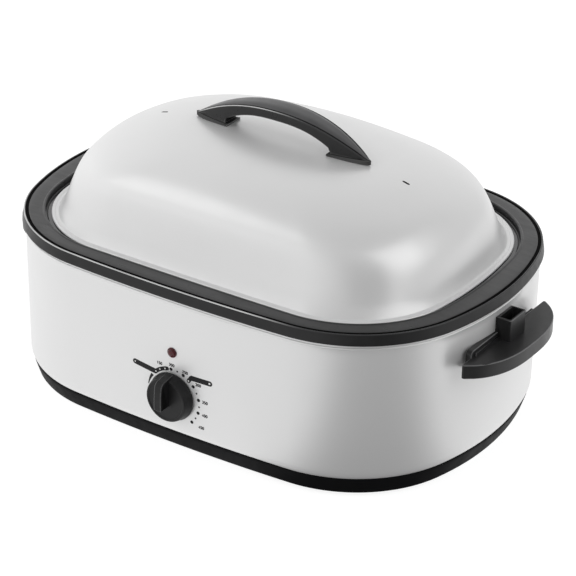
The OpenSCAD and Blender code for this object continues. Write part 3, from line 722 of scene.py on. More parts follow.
def dome_curve(n=70):
    d = np.array(DOME)
    full = np.vstack([d, [[1.0, 0.0, 0.0]], (d * [1, -1, -1])[::-1]])
    pz, pk = full[:, 0] * RISE, full[:, 1] * FA
    t = np.concatenate([[0], np.cumsum(np.hypot(np.diff(pz), np.diff(pk)))])
    tt = np.linspace(0, t[-1], 1601)
    s = [spline(t, full[:, i], tt) for i in range(3)]
    # even out small waves, leaving the foot in place
    g = np.exp(-0.5 * (np.arange(-60, 61) / 22.0) ** 2)
    g /= g.sum()
    sm = []
    for c in s:
        ext = np.concatenate([2 * c[0] - c[60:0:-1], c, 2 * c[-1] - c[-2:-62:-1]])
        sm.append(np.convolve(ext, g, "valid"))
    z, kx, ky = (c[:801] for c in sm)
    z = z / z[-1]
    kx[-1] = ky[-1] = 0
    u = np.linspace(0, 1, n) ** 0.9
    i = np.clip(np.round(u * 800).astype(int), 0, 800)
    return z[i], np.maximum(kx[i], 0), np.maximum(ky[i], 0)


def morph(k):
    return 0.9 * (1 - k ** 3.4)


def level(C, o, kx, ky, z, w):
    """One level of the dome: the plan, drawn in towards an oval as it rises."""
    p = C[0] + C[1] * o
    fa, fb = FA + o - FO, FB + o - FO
    u, v = p[:, 0] / fa, p[:, 1] / fb
    n = np.hypot(u, v)
    g = ((1 - w) * n + w) / n
    return np.column_stack([u * g * kx * fa, v * g * ky * fb + CY, np.full(len(p), float(z))])


def make_lid():
    C = contour(INN, 34, 44, 24)
    z, kx, ky = dome_curve(64)
    up_, dn = [], []
    # foot of the dome: soft fold out to the flange
    for i in range(len(z)):
        k = (kx[i] + ky[i]) / 2
        w = morph(min(k, 1.0))
        if k < 0.02:
            break
        zz = RISE * z[i]
        fold = 1.6 * max(0.0, 1 - zz / 9.0) ** 2.2     # the wall flares out over its lowest 9 mm
        up_.append(level(C, FO + fold, kx[i], ky[i], Z0 + zz, w))
        dn.append(level(C, FO - LT + fold, kx[i], ky[i], Z0 + zz - LT, w))
    flange = fillet([(-15.3, FZ - LT), (-10.0, FZ - LT), (-9.3, FZ - LT + 0.5), (-7.2, FZ - LT + 0.5), (-6.2, FZ - LT - 0.2), (-6.0, FZ - 0.4), (-6.8, FZ + 0.6),
                     (-9.4, FZ + 0.6), (-10.3, FZ), (-13.2, FZ), (-14.1, Z0 - 0.4)],
                    [0, .3, .3, .3, .5, .5, .55, .45, .5, 2.0, 0], 4)
    fl = [ring(C, o, zz) for o, zz in flange]
    R = dn[::-1] + fl + up_
    V, F = loft(R, False)
    m, n = len(C[0]), len(R)
    F.append(tuple(range(m - 1, -1, -1)))
    F.append(tuple((n - 1) * m + j for j in range(m)))
    ob = flip_if_inside(add_mesh("lid_dome", V, F, MAT["lid"], 44))
    # steam slots, along X, and the screw holes under the handle's pads
    for x in (-147, 147, -84, 84):
        slot = abs(x) > 100
        pts = []
        if slot:
            for s in (1, -1):
                for t in np.linspace(-90, 90, 9):
                    a = D(t if s > 0 else t + 180)
                    pts.append((x + s * 2.7 + 1.35 * math.cos(a), CY + 1.35 * math.sin(a)))
        else:
            pts = [(x + 2.4 * math.cos(a), CY + 2.4 * math.sin(a)) for a in np.linspace(0, 2 * math.pi, 25)[:-1]]
        k = len(pts)
        v = [(p[0], p[1], 230) for p in pts] + [(p[0], p[1], 310) for p in pts]
        f = [(j, (j + 1) % k, k + (j + 1) % k, k + j) for j in range(k)] + [tuple(range(k - 1, -1, -1)), tuple(range(k, 2 * k))]
        cut = flip_if_inside(add_mesh("cut", v, f, MAT["rubber"]))   # black slot walls: painted shade inside the steam slots and screw holes
        boolean(ob, cut, "DIFFERENCE", 44)
    return place(ob, "lid", "lid_paint", "lid_shell")


make_lid()


def dome_top(x, y):
    """Height of the dome near its crown, from the level curves."""
    z, kx, ky = dome_curve(400)
    r = np.hypot(x / (np.maximum(kx, 1e-4) * FA), (y) / (np.maximum(ky, 1e-4) * FB))
    i = int(np.argmin(np.abs(r - 0.97)))
    return Z0 + RISE * z[i]


HX = 104.5
LHT = 315.5


def arch_top(x):
    return max(281.9, LHT - 3 - 29 * (abs(x) / 100) ** 2.16)


def arch_low(x):
    return 301.7 - 16.5 * (abs(x) / 64.5) ** 2.6


def boat_w(x, hx=HX, w=14.4):
    s = min(abs(x) / hx, 1.0)
    return w * max(1 - s * s, 0.0) ** 0.6


def make_grip():
    ends = [104.45, 104.1, 103.4, 102.3, 100.8, 98.8, 96, 92.5, 89, 84, 79, 74, 70, 66.5, 64.9, 64.2, 63.0, 61.6, 58]
    xs = sorted([-x for x in ends] + list(np.linspace(-54, 54, 37)) + ends)
    R = []
    for x in xs:
        ax = abs(x)
        w = max(boat_w(x), 0.35)
        zt = arch_top(x)
        crown = 2.3 * max(0.0, 1 - (x / 95.0) ** 2) + 0.35 * min(1.0, w / 6.0)
        if ax >= 64.2:
            zb = 281.2
        elif ax <= 61.6:
            zb = arch_low(x)
        else:
            f = (ax - 61.6) / 2.6
            zb = arch_low(61.6) + (281.2 - arch_low(61.6)) * f
        s = min(1.0, w / 6.0)
        top_w = w - 2.9 * s              # a groove parts the top from the side
        pts = []
        for k in range(9):               # crowned top, from the middle outwards
            u = k / 8.0
            pts.append((top_w * u, zt + crown * (1 - u ** 4)))
        pts += [(w - 2.65 * s, zt - 0.3 * s), (w - 2.6 * s, zt - 1.4 * s), (w - 2.4 * s, zt - 2.0 * s), (w - 1.45 * s, zt - 2.0 * s),
                (w - 1.25 * s, zt - 1.5 * s), (w - 1.2 * s, zt - 0.75 * s), (w - 1.0 * s, zt - 0.42 * s), (w - 0.6 * s, zt - 0.42 * s),
                (w - 0.25 * s, zt - 0.7 * s), (w - 0.06 * s, zt - 1.2 * s), (w, zt - 2.2 * s)]
        h = zt - 2.2 * s - zb
        pts += [(w - 0.15 * s, zb + 0.66 * h), (w - 0.35 * s, zb + 0.33 * h), (w - 0.5 * s, zb + 1.1 * s), (w - 0.85 * s, zb + 0.35 * s), (w - 1.6 * s, zb), (w * 0.5, zb)]
        half = pts
        loop = [(p[0], p[1]) for p in half] + [(0.0, zb)] + [(-p[0], p[1]) for p in half[::-1]][:-1]
        R.append(np.array([(x, q[0] + CY, q[1]) for q in loop]))
    V, F = loft(R, False)
    m, n = len(R[0]), len(R)
    F.append(tuple(range(m - 1, -1, -1)))
    F.append(tuple((n - 1) * m + j for j in range(m)))
    # lip faces take the bright grip edge material: a painted highlight line
    lip = {14, 15, 16, 17, m - 18, m - 17, m - 16, m - 15}
    # the top faces take the lighter black: painted sheen
    fm_ = [1 if j in lip else (2 if j < 8 or j >= m - 8 else 0) for _ in range(n - 1) for j in range(m)] + [0, 0]
    ob = flip_if_inside(add_mesh("lid_grip", V, F, [MAT["black"], MAT["grip_lip_glint"], MAT["satin"]], 36, fm_))
    for x in (-84, 84):
        pts = [(x + 1.95 * math.cos(a), CY + 1.95 * math.sin(a)) for a in np.linspace(0, 2 * math.pi, 25)[:-1]]
        k = len(pts)
        v = [(p[0], p[1], 270) for p in pts] + [(p[0], p[1], 289) for p in pts]
        f = [(j, (j + 1) % k, k + (j + 1) % k, k + j) for j in range(k)] + [tuple(range(k - 1, -1, -1)), tuple(range(k, 2 * k))]
        boolean(ob, flip_if_inside(add_mesh("cut", v, f, MAT["black"])), "DIFFERENCE", 36)
    return place(ob, "lid", "black_plastic", "lid_handle")


make_grip()


def make_pads():
    V, F = [], []
    for s in (-1, 1):
        xs = [60.4, 60.9, 62.0, 66, 71, 77, 83, 89, 94, 98, 101, 103.0, 104.4, 105.3, 105.8]
        R = []
        for k, x in enumerate(xs):
            w = max(boat_w(x, HX + 1.4, 15.8), 0.3)
            e = 1.0 if 0 < k < len(xs) - 1 else 0.0
            zb = dome_top(x, 0) + 0.1
            zb = max(zb, 276.85)
            zt = 281.1
            q = min(1.0, w / 5.0)
            top = [(0, zt), (w * 0.5, zt), (w - 1.5 * q, zt), (w - 0.8 * q, zt - 0.35 * e), (w - 0.3 * q, zt - 1.3 * e)]
            low = [(w, zb + 0.7), (w - 0.25 * q, zb + 0.15), (w - 0.9 * q, zb), (w * 0.5, zb), (0, zb)]
            half = top + low
            loop = half + [(-a, b) for a, b in half[::-1]][1:-1]
            R.append(np.array([(s * x, a + CY, b) for a, b in loop]))
        v, f = loft(R, False)
        m, n = len(R[0]), len(R)
        f.append(tuple(range(m - 1, -1, -1)))
        f.append(tuple((n - 1) * m + j for j in range(m)))
        off = sum(len(a) for a in V)
        V.append(v)
        F += [tuple(i + off for i in q) for q in f]
    ob = flip_if_inside(add_mesh("grip_pads", np.vstack(V), F, MAT["rubber"], 36))
    return place(ob, "lid", "rubber", "lid_handle_pads")


make_pads()


# ------------------------------------------------------------------ filleted prisms
def loop_normals(p):
    a = np.roll(p, 1, 0)
    b = np.roll(p, -1, 0)
    t = b - a
    t /= np.linalg.norm(t, axis=1)[:, None]
    n = np.column_stack([t[:, 1], -t[:, 0]])
    return n


def inset(p, d):
    """Moves each side of an anticlockwise loop inwards by d, keeping its corners mitred."""
    a = np.roll(p, 1, 0)
    b = np.roll(p, -1, 0)
    t1 = (p - a) / np.maximum(np.linalg.norm(p - a, axis=1), 1e-9)[:, None]
    t2 = (b - p) / np.maximum(np.linalg.norm(b - p, axis=1), 1e-9)[:, None]
    n1 = np.column_stack([t1[:, 1], -t1[:, 0]])
    n2 = np.column_stack([t2[:, 1], -t2[:, 0]])
    n = n1 + n2
    n /= np.maximum(np.linalg.norm(n, axis=1), 1e-9)[:, None]
    k = np.maximum((n * n1).sum(1), 0.45)
    return p - n * (d / k)[:, None]


def prism(name, loop2d, z0, z1, r0, r1, mat, place_fn, seg=4, rad=None, draft=0.0):
    """Outline between z0 and z1, with rounded edges. With rad, loop2d is a polygon whose corners get those radii."""
    p = np.array(loop2d, float)
    area = 0.5 * float(np.sum(p[:, 0] * np.roll(p[:, 1], -1) - np.roll(p[:, 0], -1) * p[:, 1]))
    if area < 0:
        p = p[::-1]
        rad = rad[::-1] if hasattr(rad, "__len__") else rad
    prof = [(r0 * (1 - math.sin(D(90 * i / seg))), z0 + r0 * (1 - math.cos(D(90 * i / seg)))) for i in range(seg + 1)] if r0 else [(0, z0)]
    prof += [(r1 * (1 - math.cos(D(90 * i / seg))), z1 - r1 * (1 - math.sin(D(90 * i / seg)))) for i in range(seg + 1)] if r1 else [(0, z1)]
    R = []
    for d, z in prof:
        dd = d + draft * (z - z0) / max(z1 - z0, 1e-6)
        q = inset(p, dd) if abs(dd) > 1e-9 else p
        if rad is not None:
            rr = [max(k - dd, 0.12) if k > 0 else 0 for k in (rad if hasattr(rad, "__len__") else [rad] * len(p))]
            q = np.array(fillet_loop([tuple(c) for c in q], rr, 5))
        R.append(np.column_stack([q, np.full(len(q), z)]))
    V, F = loft(R, False)
    m, n = len(R[0]), len(R)
    F.append(tuple(range(m - 1, -1, -1)))
    F.append(tuple((n - 1) * m + j for j in range(m)))
    V = np.array([place_fn(*v) for v in V])
    # the rounded edge faces of the wing and the knob take a lighter material: painted highlight
    edge = {"wing_black": "wing_glint", "knob_black": "knob_glint"}.get(mat.name)
    if edge is None or not (r0 or r1):
        return flip_if_inside(add_mesh(name, V, F, mat, 36))
    fm_ = [1 if (r0 and i < seg) or (r1 and i >= n - 1 - seg) else 0 for i in range(n - 1) for _ in range(m)] + [0, 0]
    return flip_if_inside(add_mesh(name, V, F, [mat, MAT[edge]], 36, fm_))


def smooth_loop(pts, rad, seg=5):
    return fillet_loop([tuple(p) for p in pts], rad, seg)


def make_wing(side):
    WZ, SOCK, HY = 140.4, 163.7, -3.0
    up_fn = lambda x, y, z: (side * x, y + HY + CY, z)
    mat = MAT["wing"]
    # the wing's outline: straight inner edge, curved outer edge, narrow rounded tips
    def edge(t, reach):
        return 267 + reach * (1 - abs(t) ** 2.7) ** 0.72
    tt = [0.962 * math.sin(D(90 * v)) for v in np.linspace(-1, 1, 57)]
    curve = [(edge(t, 35), t * 81) for t in tt]
    loop = fillet_loop([(266.8, -80.95), (269.6, -80.95)] + curve + [(269.6, 80.95), (266.8, 80.95)],
                       [0.9, 1.6] + [0] * len(curve) + [1.6, 0.9], 4)
    body = prism("wing", loop, WZ - 15, WZ, 0.6, 0.85, mat, up_fn, 4)
    hollow = [(270.5, -73.0)] + [(edge(t, 32.0), t * 77.8) for t in [0.93 * math.sin(D(90 * v)) for v in np.linspace(-0.93, 0.93, 41)]] + [(270.5, 73.0)]
    cut = prism("cut", hollow, WZ - 22, WZ - 3.2, 0, 0.6, mat, up_fn, 3)
    boolean(body, cut, "DIFFERENCE", 36)
    # plate against the wall, its ends cut back
    OX, OR = OUT["x2"], OUT["R2"]

    def wall(y, o):
        yy = y + HY
        return OX + math.sqrt((OR + o) ** 2 - yy * yy)
    # outlines in (y, z), pushed along x: a tall part with a rounded corner, and a low part beyond the socket
    yz_fn = lambda u, v, w: (side * w, u + HY + CY, v)
    behind = [(wall(y, -0.9), y) for y in np.linspace(-74, 74, 41)] + [(235, 74), (235, -74)]
    for k, (y0, y1, top, rr) in enumerate([(-65.6, 24.0, WZ + 7.0, [0.8, 0.8, 3.0, 4.5]), (20.0, 65.6, WZ - 3.4, [0.8, 0.8, 0.8, 0.8])]):
        pl = prism("plate%d" % k, [(y0, WZ - 14.6), (y1, WZ - 14.6), (y1, top), (y0, top)], 261.6, 268.3, 0.5, 0.7, mat, yz_fn, 3, rad=rr)
        boolean(pl, prism("behind", behind, WZ - 30, WZ + 30, 0, 0, mat, up_fn), "DIFFERENCE", 36)
        boolean(body, pl, "UNION", 36)
    # a shallow rib along the plate's face
    rib = prism("rib", [(-59.0, WZ - 1.0), (15.0, WZ - 1.0), (15.0, WZ + 3.4), (-59.0, WZ + 3.4)], 267.0, 269.9, 0.0, 0.6, mat, yz_fn, 3, rad=[0.5, 0.5, 0.8, 1.6])
    boolean(body, rib, "UNION", 36)
    # block with the lid socket
    blk = [(wall(-15, -0.85) + 0.02, -15), (282.5, -15), (282.5, 15), (wall(15, -0.85) + 0.02, 15)]
    bl = prism("block", blk, WZ - 10, SOCK, 0.0, 0.8, mat, up_fn, 3, rad=[0, 1.5, 1.5, 0])
    boolean(body, bl, "UNION", 36)
    ear = prism("ear", [(12, WZ - 5), (25.0, WZ - 5), (25.0, SOCK - 7.5), (12, SOCK - 7.5)], 261.6, 271.0, 0.0, 0.7, mat, yz_fn, 3, rad=[0, 0.8, 2.6, 0])
    boolean(ear, prism("behind", behind, WZ - 30, WZ + 30, 0, 0, mat, up_fn), "DIFFERENCE", 36)
    boolean(body, ear, "UNION", 36)
    soc = [(268.8, -12.8), (280.3, -12.8), (280.3, 12.8), (268.8, 12.8)]
    so = prism("socket", soc, WZ + 1.6, SOCK + 12, 0.6, 0.0, mat, up_fn, 3, rad=1.0)
    boolean(body, so, "DIFFERENCE", 36)
    body.name = "wing_right" if side > 0 else "wing_left"
    # pilot holes
    for y in (-9, 9):
        pts = [(y + 1.75 * math.cos(a), 130 + 1.75 * math.sin(a)) for a in np.linspace(0, 2 * math.pi, 21)[:-1]]
        k = len(pts)
        v = [(side * 250, p[0] + HY + CY, p[1]) for p in pts] + [(side * 278, p[0] + HY + CY, p[1]) for p in pts]
        f = [(j, (j + 1) % k, k + (j + 1) % k, k + j) for j in range(k)] + [tuple(range(k - 1, -1, -1)), tuple(range(k, 2 * k))]
        boolean(body, flip_if_inside(add_mesh("cut", v, f, mat)), "DIFFERENCE", 36)
    return place(flat_faces(body), "case", "black_plastic", "side_handle_right" if side > 0 else "side_handle_left")


make_wing(1)
make_wing(-1)


# ------------------------------------------------------------------ controls
def revolve_y(name, prof, mat, x, z, seg=96, angle=36):
    """prof: (radius, y) from the axis at the back, round the outside, to the axis at the front."""
    V, F = [], []
    ring_ids = []
    for r, y in prof:
        if r < 1e-6:
            ring_ids.append([len(V)])
            V.append((x, y + CY, z))
        else:
            ring_ids.append(list(range(len(V), len(V) + seg)))
            for k in range(seg):
                a = 2 * math.pi * k / seg
                V.append((x + r * math.cos(a), y + CY, z + r * math.sin(a)))
    for a, b in zip(ring_ids, ring_ids[1:]):
        for k in range(seg):
            l = (k + 1) % seg
            if len(a) == 1 and len(b) == 1:
                continue
            if len(a) == 1:
                F.append((a[0], b[l], b[k]))
            elif len(b) == 1:
                F.append((a[k], a[l], b[0]))
            else:
                F.append((a[k], a[l], b[l], b[k]))
    return flip_if_inside(add_mesh(name, V, F, mat, angle))


def make_knob():
    yb = -188.6
    prof = [(0, yb)] + fillet([(24.6, yb), (26.0, yb), (26.0, yb - 2.0), (25.5, yb - 3.2), (23.7, yb - 10.2), (22.9, yb - 11.6), (20.9, yb - 11.6), (20.5, yb - 10.9), (14.0, yb - 10.5)],
                              [0, .5, 1.0, 1.0, 1.2, 0.9, .6, .8, 0], 5) + [(0, yb - 10.4)]
    ob = revolve_y("dial_knob", prof, MAT["knob"], PX, KZ, 120)
    # grip bar: its side outline, in (y, z), pushed along x with rounded edges
    side_ = [(-196.0, -6.6), (-196.0, 10.0), (-190.6, 10.0), (-190.6, 26.5), (-207.6, 24.2), (-210.9, 21.4), (-212.2, 15.0), (-212.8, 6.0), (-212.8, -6.6)]
    up_fn = lambda u, v, w: (PX + w, u + CY, KZ + v)
    bar = prism("bar", side_, -5.3, 3.5, 1.2, 0.9, MAT["knob"], up_fn, 5, rad=[0, 0, 0, 1.5, 3.2, 3.5, 5, 4, 1.5])
    boolean(ob, bar, "UNION", 34)
    # bore for the shaft
    bore = revolve_y("bore", [(0, -180), (2.96, -180), (2.96, -203), (0, -203)], MAT["knob"], PX, KZ, 48)
    boolean(ob, bore, "DIFFERENCE", 34)
    return place(flat_faces(ob), "knob", "black_plastic", "control_knob")


make_knob()


def make_lens():
    yw = -188.05
    prof = [(0, yw)] + fillet([(5.3, yw), (5.4, yw - 0.1), (5.4, yw - 0.9), (4.9, yw - 1.2), (4.6, yw - 0.95), (3.8, yw - 2.35), (2.3, yw - 3.0), (1.0, yw - 3.15)], [0, .05, .3, .2, .2, 1, 2, 0], 4) + [(0, yw - 3.2)]
    ob = revolve_y("lamp_lens", prof, MAT["lens"], PX, LZ, 64)
    stem = revolve_y("stem", [(0, -183.4), (3.1, -183.4), (3.1, yw - 0.4), (0, yw - 0.4)], MAT["lens"], PX, LZ, 48)
    boolean(ob, stem, "UNION", 34)
    bore = revolve_y("bore", [(0, -180), (2.6, -180), (2.6, -188.0), (0, -188.0)], MAT["lens"], PX, LZ, 48)
    boolean(ob, bore, "DIFFERENCE", 34)
    return place(ob, "case", "red_lens", "indicator_lens")


make_lens()


# ------------------------------------------------------------------ dial print
def on_front(x, z, lift):
    """A point on the front wall; x, z are offsets from the dial's centre."""
    X, Z = DX + x, DZ + z
    return (X, -side_y(OUT, wrap_off(Z), X) - lift + CY, Z)


DX, DZ = -1.2, 64.15


def stroke(p, q, w, cap=5):
    """A round-ended bar from p to q."""
    p, q = np.array(p, float), np.array(q, float)
    a = math.atan2(*(q - p)[::-1])
    pts = []
    for k in range(cap + 1):
        t = a - math.pi / 2 + math.pi * k / cap
        pts.append(q + w / 2 * np.array([math.cos(t), math.sin(t)]))
    for k in range(cap + 1):
        t = a + math.pi / 2 + math.pi * k / cap
        pts.append(p + w / 2 * np.array([math.cos(t), math.sin(t)]))
    return pts


def disc(c, r, n=20):
    return [(c[0] + r * math.cos(2 * math.pi * k / n), c[1] + r * math.sin(2 * math.pi * k / n)) for k in range(n)]


def polar(r, a):
    return (r * math.cos(D(a)), r * math.sin(D(a)))


# digit shapes as short strokes in a 0..1 by 0..1.6 cell
def arc_pts(cx, cy, rx, ry, a0, a1, n):
    return [(cx + rx * math.cos(D(a0 + (a1 - a0) * i / n)), cy + ry * math.sin(D(a0 + (a1 - a0) * i / n))) for i in range(n + 1)]


GLYPH = {
    "0": [arc_pts(.5, .8, .38, .7, 0, 360, 16)],
    "1": [[(.22, 1.2), (.56, 1.5), (.56, .1)]],
    "2": [arc_pts(.5, 1.1, .36, .4, 160, -20, 7) + [(.14, .1), (.88, .1)]],
    "3": [arc_pts(.48, 1.14, .34, .36, 150, -90, 7), arc_pts(.48, .46, .38, .4, 90, -150, 7)],
    "4": [[(.68, .1), (.68, 1.5), (.12, .5), (.92, .5)]],
    "5": [[(.82, 1.5), (.26, 1.5), (.2, .86)] + arc_pts(.48, .54, .38, .44, 110, -150, 8)],
}


def make_print():
    faces, verts, mats = [], [], []

    def flat(poly, lift, mi, holes=None):
        """A thin inked patch: front, back and sides."""
        n = len(poly)
        base = len(verts)
        for p in poly:
            verts.append(on_front(p[0], p[1], lift))
        for p in poly:
            verts.append(on_front(p[0], p[1], lift - 0.09))
        faces.append(tuple(base + i for i in range(n)))
        faces.append(tuple(base + n + i for i in range(n - 1, -1, -1)))
        for i in range(n):
            j = (i + 1) % n
            faces.append((base + i, base + n + i, base + n + j, base + j))
        mats.extend([mi] * (n + 2))

    def band(path, w, lift, mi):
        """A ribbon of even or tapering width along a path."""
        path = [np.array(p, float) for p in path]
        ws = w if hasattr(w, "__len__") else [w] * len(path)
        L, Rr = [], []
        for i, p in enumerate(path):
            a = path[max(i - 1, 0)]
            b = path[min(i + 1, len(path) - 1)]
            t = (b - a) / np.linalg.norm(b - a)
            nn = np.array([-t[1], t[0]])
            L.append(p + nn * ws[i] / 2)
            Rr.append(p - nn * ws[i] / 2)
        for i in range(len(path) - 1):
            flat([Rr[i], Rr[i + 1], L[i + 1], L[i]], lift, mi)

    R = 31.15
    step = 27.8
    for k in range(6):
        flat(disc(polar(R, 94.6 - step * k), 1.85), 0.12, 0)
    for a in (80.7, 24.9, -2.9, -30.7):
        flat(disc(polar(R, a), 1.0, 14), 0.12, 0)
    # left hook: an arc with three pale dots, joined to a long banner
    hook = [polar(R, a) for a in np.linspace(103.5, 134, 12)]
    band(hook, 4.4, 0.12, 0)
    flat(disc(hook[0], 2.2), 0.121, 0)
    p0 = np.array(hook[-1])
    tip = p0 + np.array([-25.5, 3.2])
    band([p0, p0 + (tip - p0) * 0.33, p0 + (tip - p0) * 0.66, tip], 5.8, 0.121, 0)
    flat(disc(p0, 2.4), 0.122, 0)
    flat(disc(tip, 2.9), 0.122, 0)
    for a in (108.5, 121.5, 132.9):
        flat(disc(polar(R, a), 0.85, 14), 0.2, 1)
    flat(disc(tip, 0.8, 14), 0.2, 1)
    # right hook: one pale dot, a stem and a banner
    q0 = np.array(polar(R - 0.4, 52.6))
    q1 = q0 + np.array([3.0, 4.3])
    q2 = q1 + np.array([22.5, 0.6])
    band([q0, q1], 4.4, 0.12, 0)
    flat(disc(q0, 2.2), 0.121, 0)
    flat(disc(q1, 2.3), 0.122, 0)
    band([q1, q1 + (q2 - q1) * 0.5, q2], 5.8, 0.121, 0)
    flat(disc(q2, 2.9), 0.122, 0)
    flat(disc(q0, 0.9, 14), 0.2, 1)
    flat(disc(q2 - np.array([0.3, 0]), 1.15, 14), 0.2, 1)
    # tapering arc at the left, thick at its top
    ts = np.linspace(145, 170, 12)
    band([polar(31.2, a) for a in ts], list(np.linspace(3.4, 0.8, 12)), 0.12, 0)
    # numbers
    labels = [("150", (-16.6, 33.6)), ("200", (-1.6, 35.9)), ("250", (14.6, 32.6)), ("300", (30.3, 23.2)),
              ("350", (38.2, 5.6)), ("400", (37.9, -9.6)), ("450", (33.6, -24.6))]
    H = 3.3
    for text, c in labels:
        wc = H / 1.6
        total = len(text) * wc * 1.12
        for i, ch in enumerate(text):
            ox, oz = c[0] - total / 2 + i * wc * 1.12, c[1] - H / 2
            for path in GLYPH[ch]:
                band([(ox + px * wc, oz + pz * wc) for px, pz in path], 0.82, 0.12 + 0.001 * i, 0)
    ob = add_mesh("dial_marks", verts, faces, [MAT["ink"], MAT["white_ink"]], 30, mats)
    return place(ob, "case", "dial_print")


make_print()


# ------------------------------------------------------------------ cord bushing
def make_bushing():
    """Moulded bushing with an oval flange, in the back wall."""
    def oval(w, h, n=24):
        r = w / 2
        pts = []
        for k in range(2 * n):
            a = 2 * math.pi * k / (2 * n)
            x, z = r * math.cos(a), r * math.sin(a)
            pts.append((x, max(-h / 2, min(h / 2, z))))
        return pts

    rings = []

    def add(w, h, y):
        rings.append(np.array([(p[0], y + CY, 48 + p[1]) for p in oval(w, h)]))
    for w, h, y in ((19.0, 16.0, 187.75), (20, 17, 188.1), (20, 17, 190.4), (19.4, 16.4, 191.2), (18.0, 15.0, 191.6), (10.4, 7.4, 191.6), (9.0, 6.0, 191.2), (8.4, 5.4, 190.4),
                    (8.4, 5.4, 184.0), (8.4, 5.4, 181.6), (9.0, 6.0, 181.0), (12.4, 8.4, 181.0), (13.0, 9.2, 181.6), (18.0, 15.0, 182.4), (18.0, 15.0, 185.6), (13.4, 9.2, 185.7), (12.4, 8.8, 187.4)):
        add(w, h, y)
    V, F = loft(rings, True)
    ob = flip_if_inside(add_mesh("cord_grommet", V, F, MAT["rubber"], 36))
    return place(ob, "case", "rubber", "cord_bushing")


make_bushing()


# ------------------------------------------------------------------ feet
def make_feet():
    V, F = [], []
    prof = fillet_loop([(2.1, 3.2), (4.6, 3.2), (4.6, 0.0), (10.2, 0.0), (11.2, 1.0), (12.0, 7.5), (2.1, 7.5)], [.1, .2, .4, .6, .8, .5, .1], 3)
    seg = 48
    for x in (-185, 185):
        for y in (-98, 98):
            base = len(V)
            n = len(prof)
            for r, z in prof:
                for k in range(seg):
                    a = 2 * math.pi * k / seg
                    V.append((x + r * math.cos(a), y + CY + r * math.sin(a), z))
            for i in range(n):
                for k in range(seg):
                    l, i2 = (k + 1) % seg, (i + 1) % n
                    F.append((base + i * seg + k, base + i * seg + l, base + i2 * seg + l, base + i2 * seg + k))
    ob = flip_if_inside(add_mesh("rubber_feet", V, F, MAT["rubber"], 36))
    return place(ob, "case", "rubber", "feet")


make_feet()

# ------------------------------------------------------------------ carried-over CAD nodes
KEEP = {
    "base_plate": "zinc", "foot_screws": "zinc", "base_screws": "zinc", "insulation_blanket": "fibre",
    "heater_band": "heater", "heater_clips": "zinc", "thermostat_bracket": "zinc", "thermostat_body": "ceramic",
    "thermostat_screws": "zinc", "thermostat_shaft": "zinc", "indicator_lamp": "lamp", "thermal_fuse": "ceramic",
    "fuse_strap": "zinc", "terminal_block": "ceramic", "terminal_screws": "brass", "lead_wires": "sleeve",
    "handle_screws": "zinc", "roasting_rack": "chrome", "rack_loops": "chrome", "lid_handle_screws": "zinc",
}
for node, key in KEEP.items():
    ob = NODES[node]
    if not ob.material_slots:
        ob.data.materials.append(MAT[key])
    for s_ in ob.material_slots:
        s_.material = MAT[key]

# ------------------------------------------------------------------ floor and light
FLOOR_GLOW = 1.04
DARK_AZ = 54
fl_me = bpy.data.meshes.new("floor")
L = 9.0
fl_me.from_pydata([(-L, -L, 0), (L, -L, 0), (L, L, 0), (-L, L, 0)], [], [(0, 1, 2, 3)])
floor = bpy.data.objects.new("floor", fl_me)
sc.collection.objects.link(floor)
fm = bpy.data.materials.new("floor")
fm.use_nodes = True
nt = fm.node_tree
nt.nodes.clear()
o_ = nt.nodes.new("ShaderNodeOutputMaterial")
dif = nt.nodes.new("ShaderNodeBsdfDiffuse")
dif.inputs["Color"].default_value = (0.36, 0.36, 0.36, 1)
emi = nt.nodes.new("ShaderNodeEmission")
emi.inputs["Color"].default_value = (1, 1, 1, 1)
emi.inputs["Strength"].default_value = 0.86
addn = nt.nodes.new("ShaderNodeAddShader")
nt.links.new(dif.outputs[0], addn.inputs[0])
nt.links.new(emi.outputs[0], addn.inputs[1])
# what the object sees of the floor is dimmer than what the viewer sees
low = nt.nodes.new("ShaderNodeEmission")
low.inputs["Color"].default_value = (1, 1, 1, 1)
geo = nt.nodes.new("ShaderNodeNewGeometry")
flat_ = nt.nodes.new("ShaderNodeVectorMath")
flat_.operation = "MULTIPLY"
flat_.inputs[1].default_value = (1, 1, 0)
nt.links.new(geo.outputs["Position"], flat_.inputs[0])
unit = nt.nodes.new("ShaderNodeVectorMath")
unit.operation = "NORMALIZE"
nt.links.new(flat_.outputs[0], unit.inputs[0])
dotn = nt.nodes.new("ShaderNodeVectorMath")
dotn.operation = "DOT_PRODUCT"
dotn.inputs[1].default_value = (math.sin(D(DARK_AZ)), -math.cos(D(DARK_AZ)), 0)
nt.links.new(unit.outputs[0], dotn.inputs[0])
wedge = nt.nodes.new("ShaderNodeMapRange")
wedge.interpolation_type = "SMOOTHSTEP"
for k_, v_ in (("From Min", 0.83), ("From Max", 0.99), ("To Min", FLOOR_GLOW), ("To Max", FLOOR_GLOW * 0.22)):
    wedge.inputs[k_].default_value = v_
nt.links.new(dotn.outputs["Value"], wedge.inputs["Value"])
nt.links.new(wedge.outputs["Result"], low.inputs["Strength"])
lp = nt.nodes.new("ShaderNodeLightPath")
mixn = nt.nodes.new("ShaderNodeMixShader")
nt.links.new(lp.outputs["Is Camera Ray"], mixn.inputs[0])
nt.links.new(low.outputs[0], mixn.inputs[1])
nt.links.new(addn.outputs[0], mixn.inputs[2])
nt.links.new(mixn.outputs[0], o_.inputs[0])
fl_me.materials.append(fm)

w = bpy.data.worlds.new("w")
sc.world = w
w.use_nodes = True
nt = w.node_tree
nt.nodes.clear()
wo = nt.nodes.new("ShaderNodeOutputWorld")
bg = nt.nodes.new("ShaderNodeBackground")
nt.links.new(bg.outputs[0], wo.inputs[0])
# soft studio dome: darker towards the viewer's side, brighter to the left and right
tc = nt.nodes.new("ShaderNodeTexCoord")


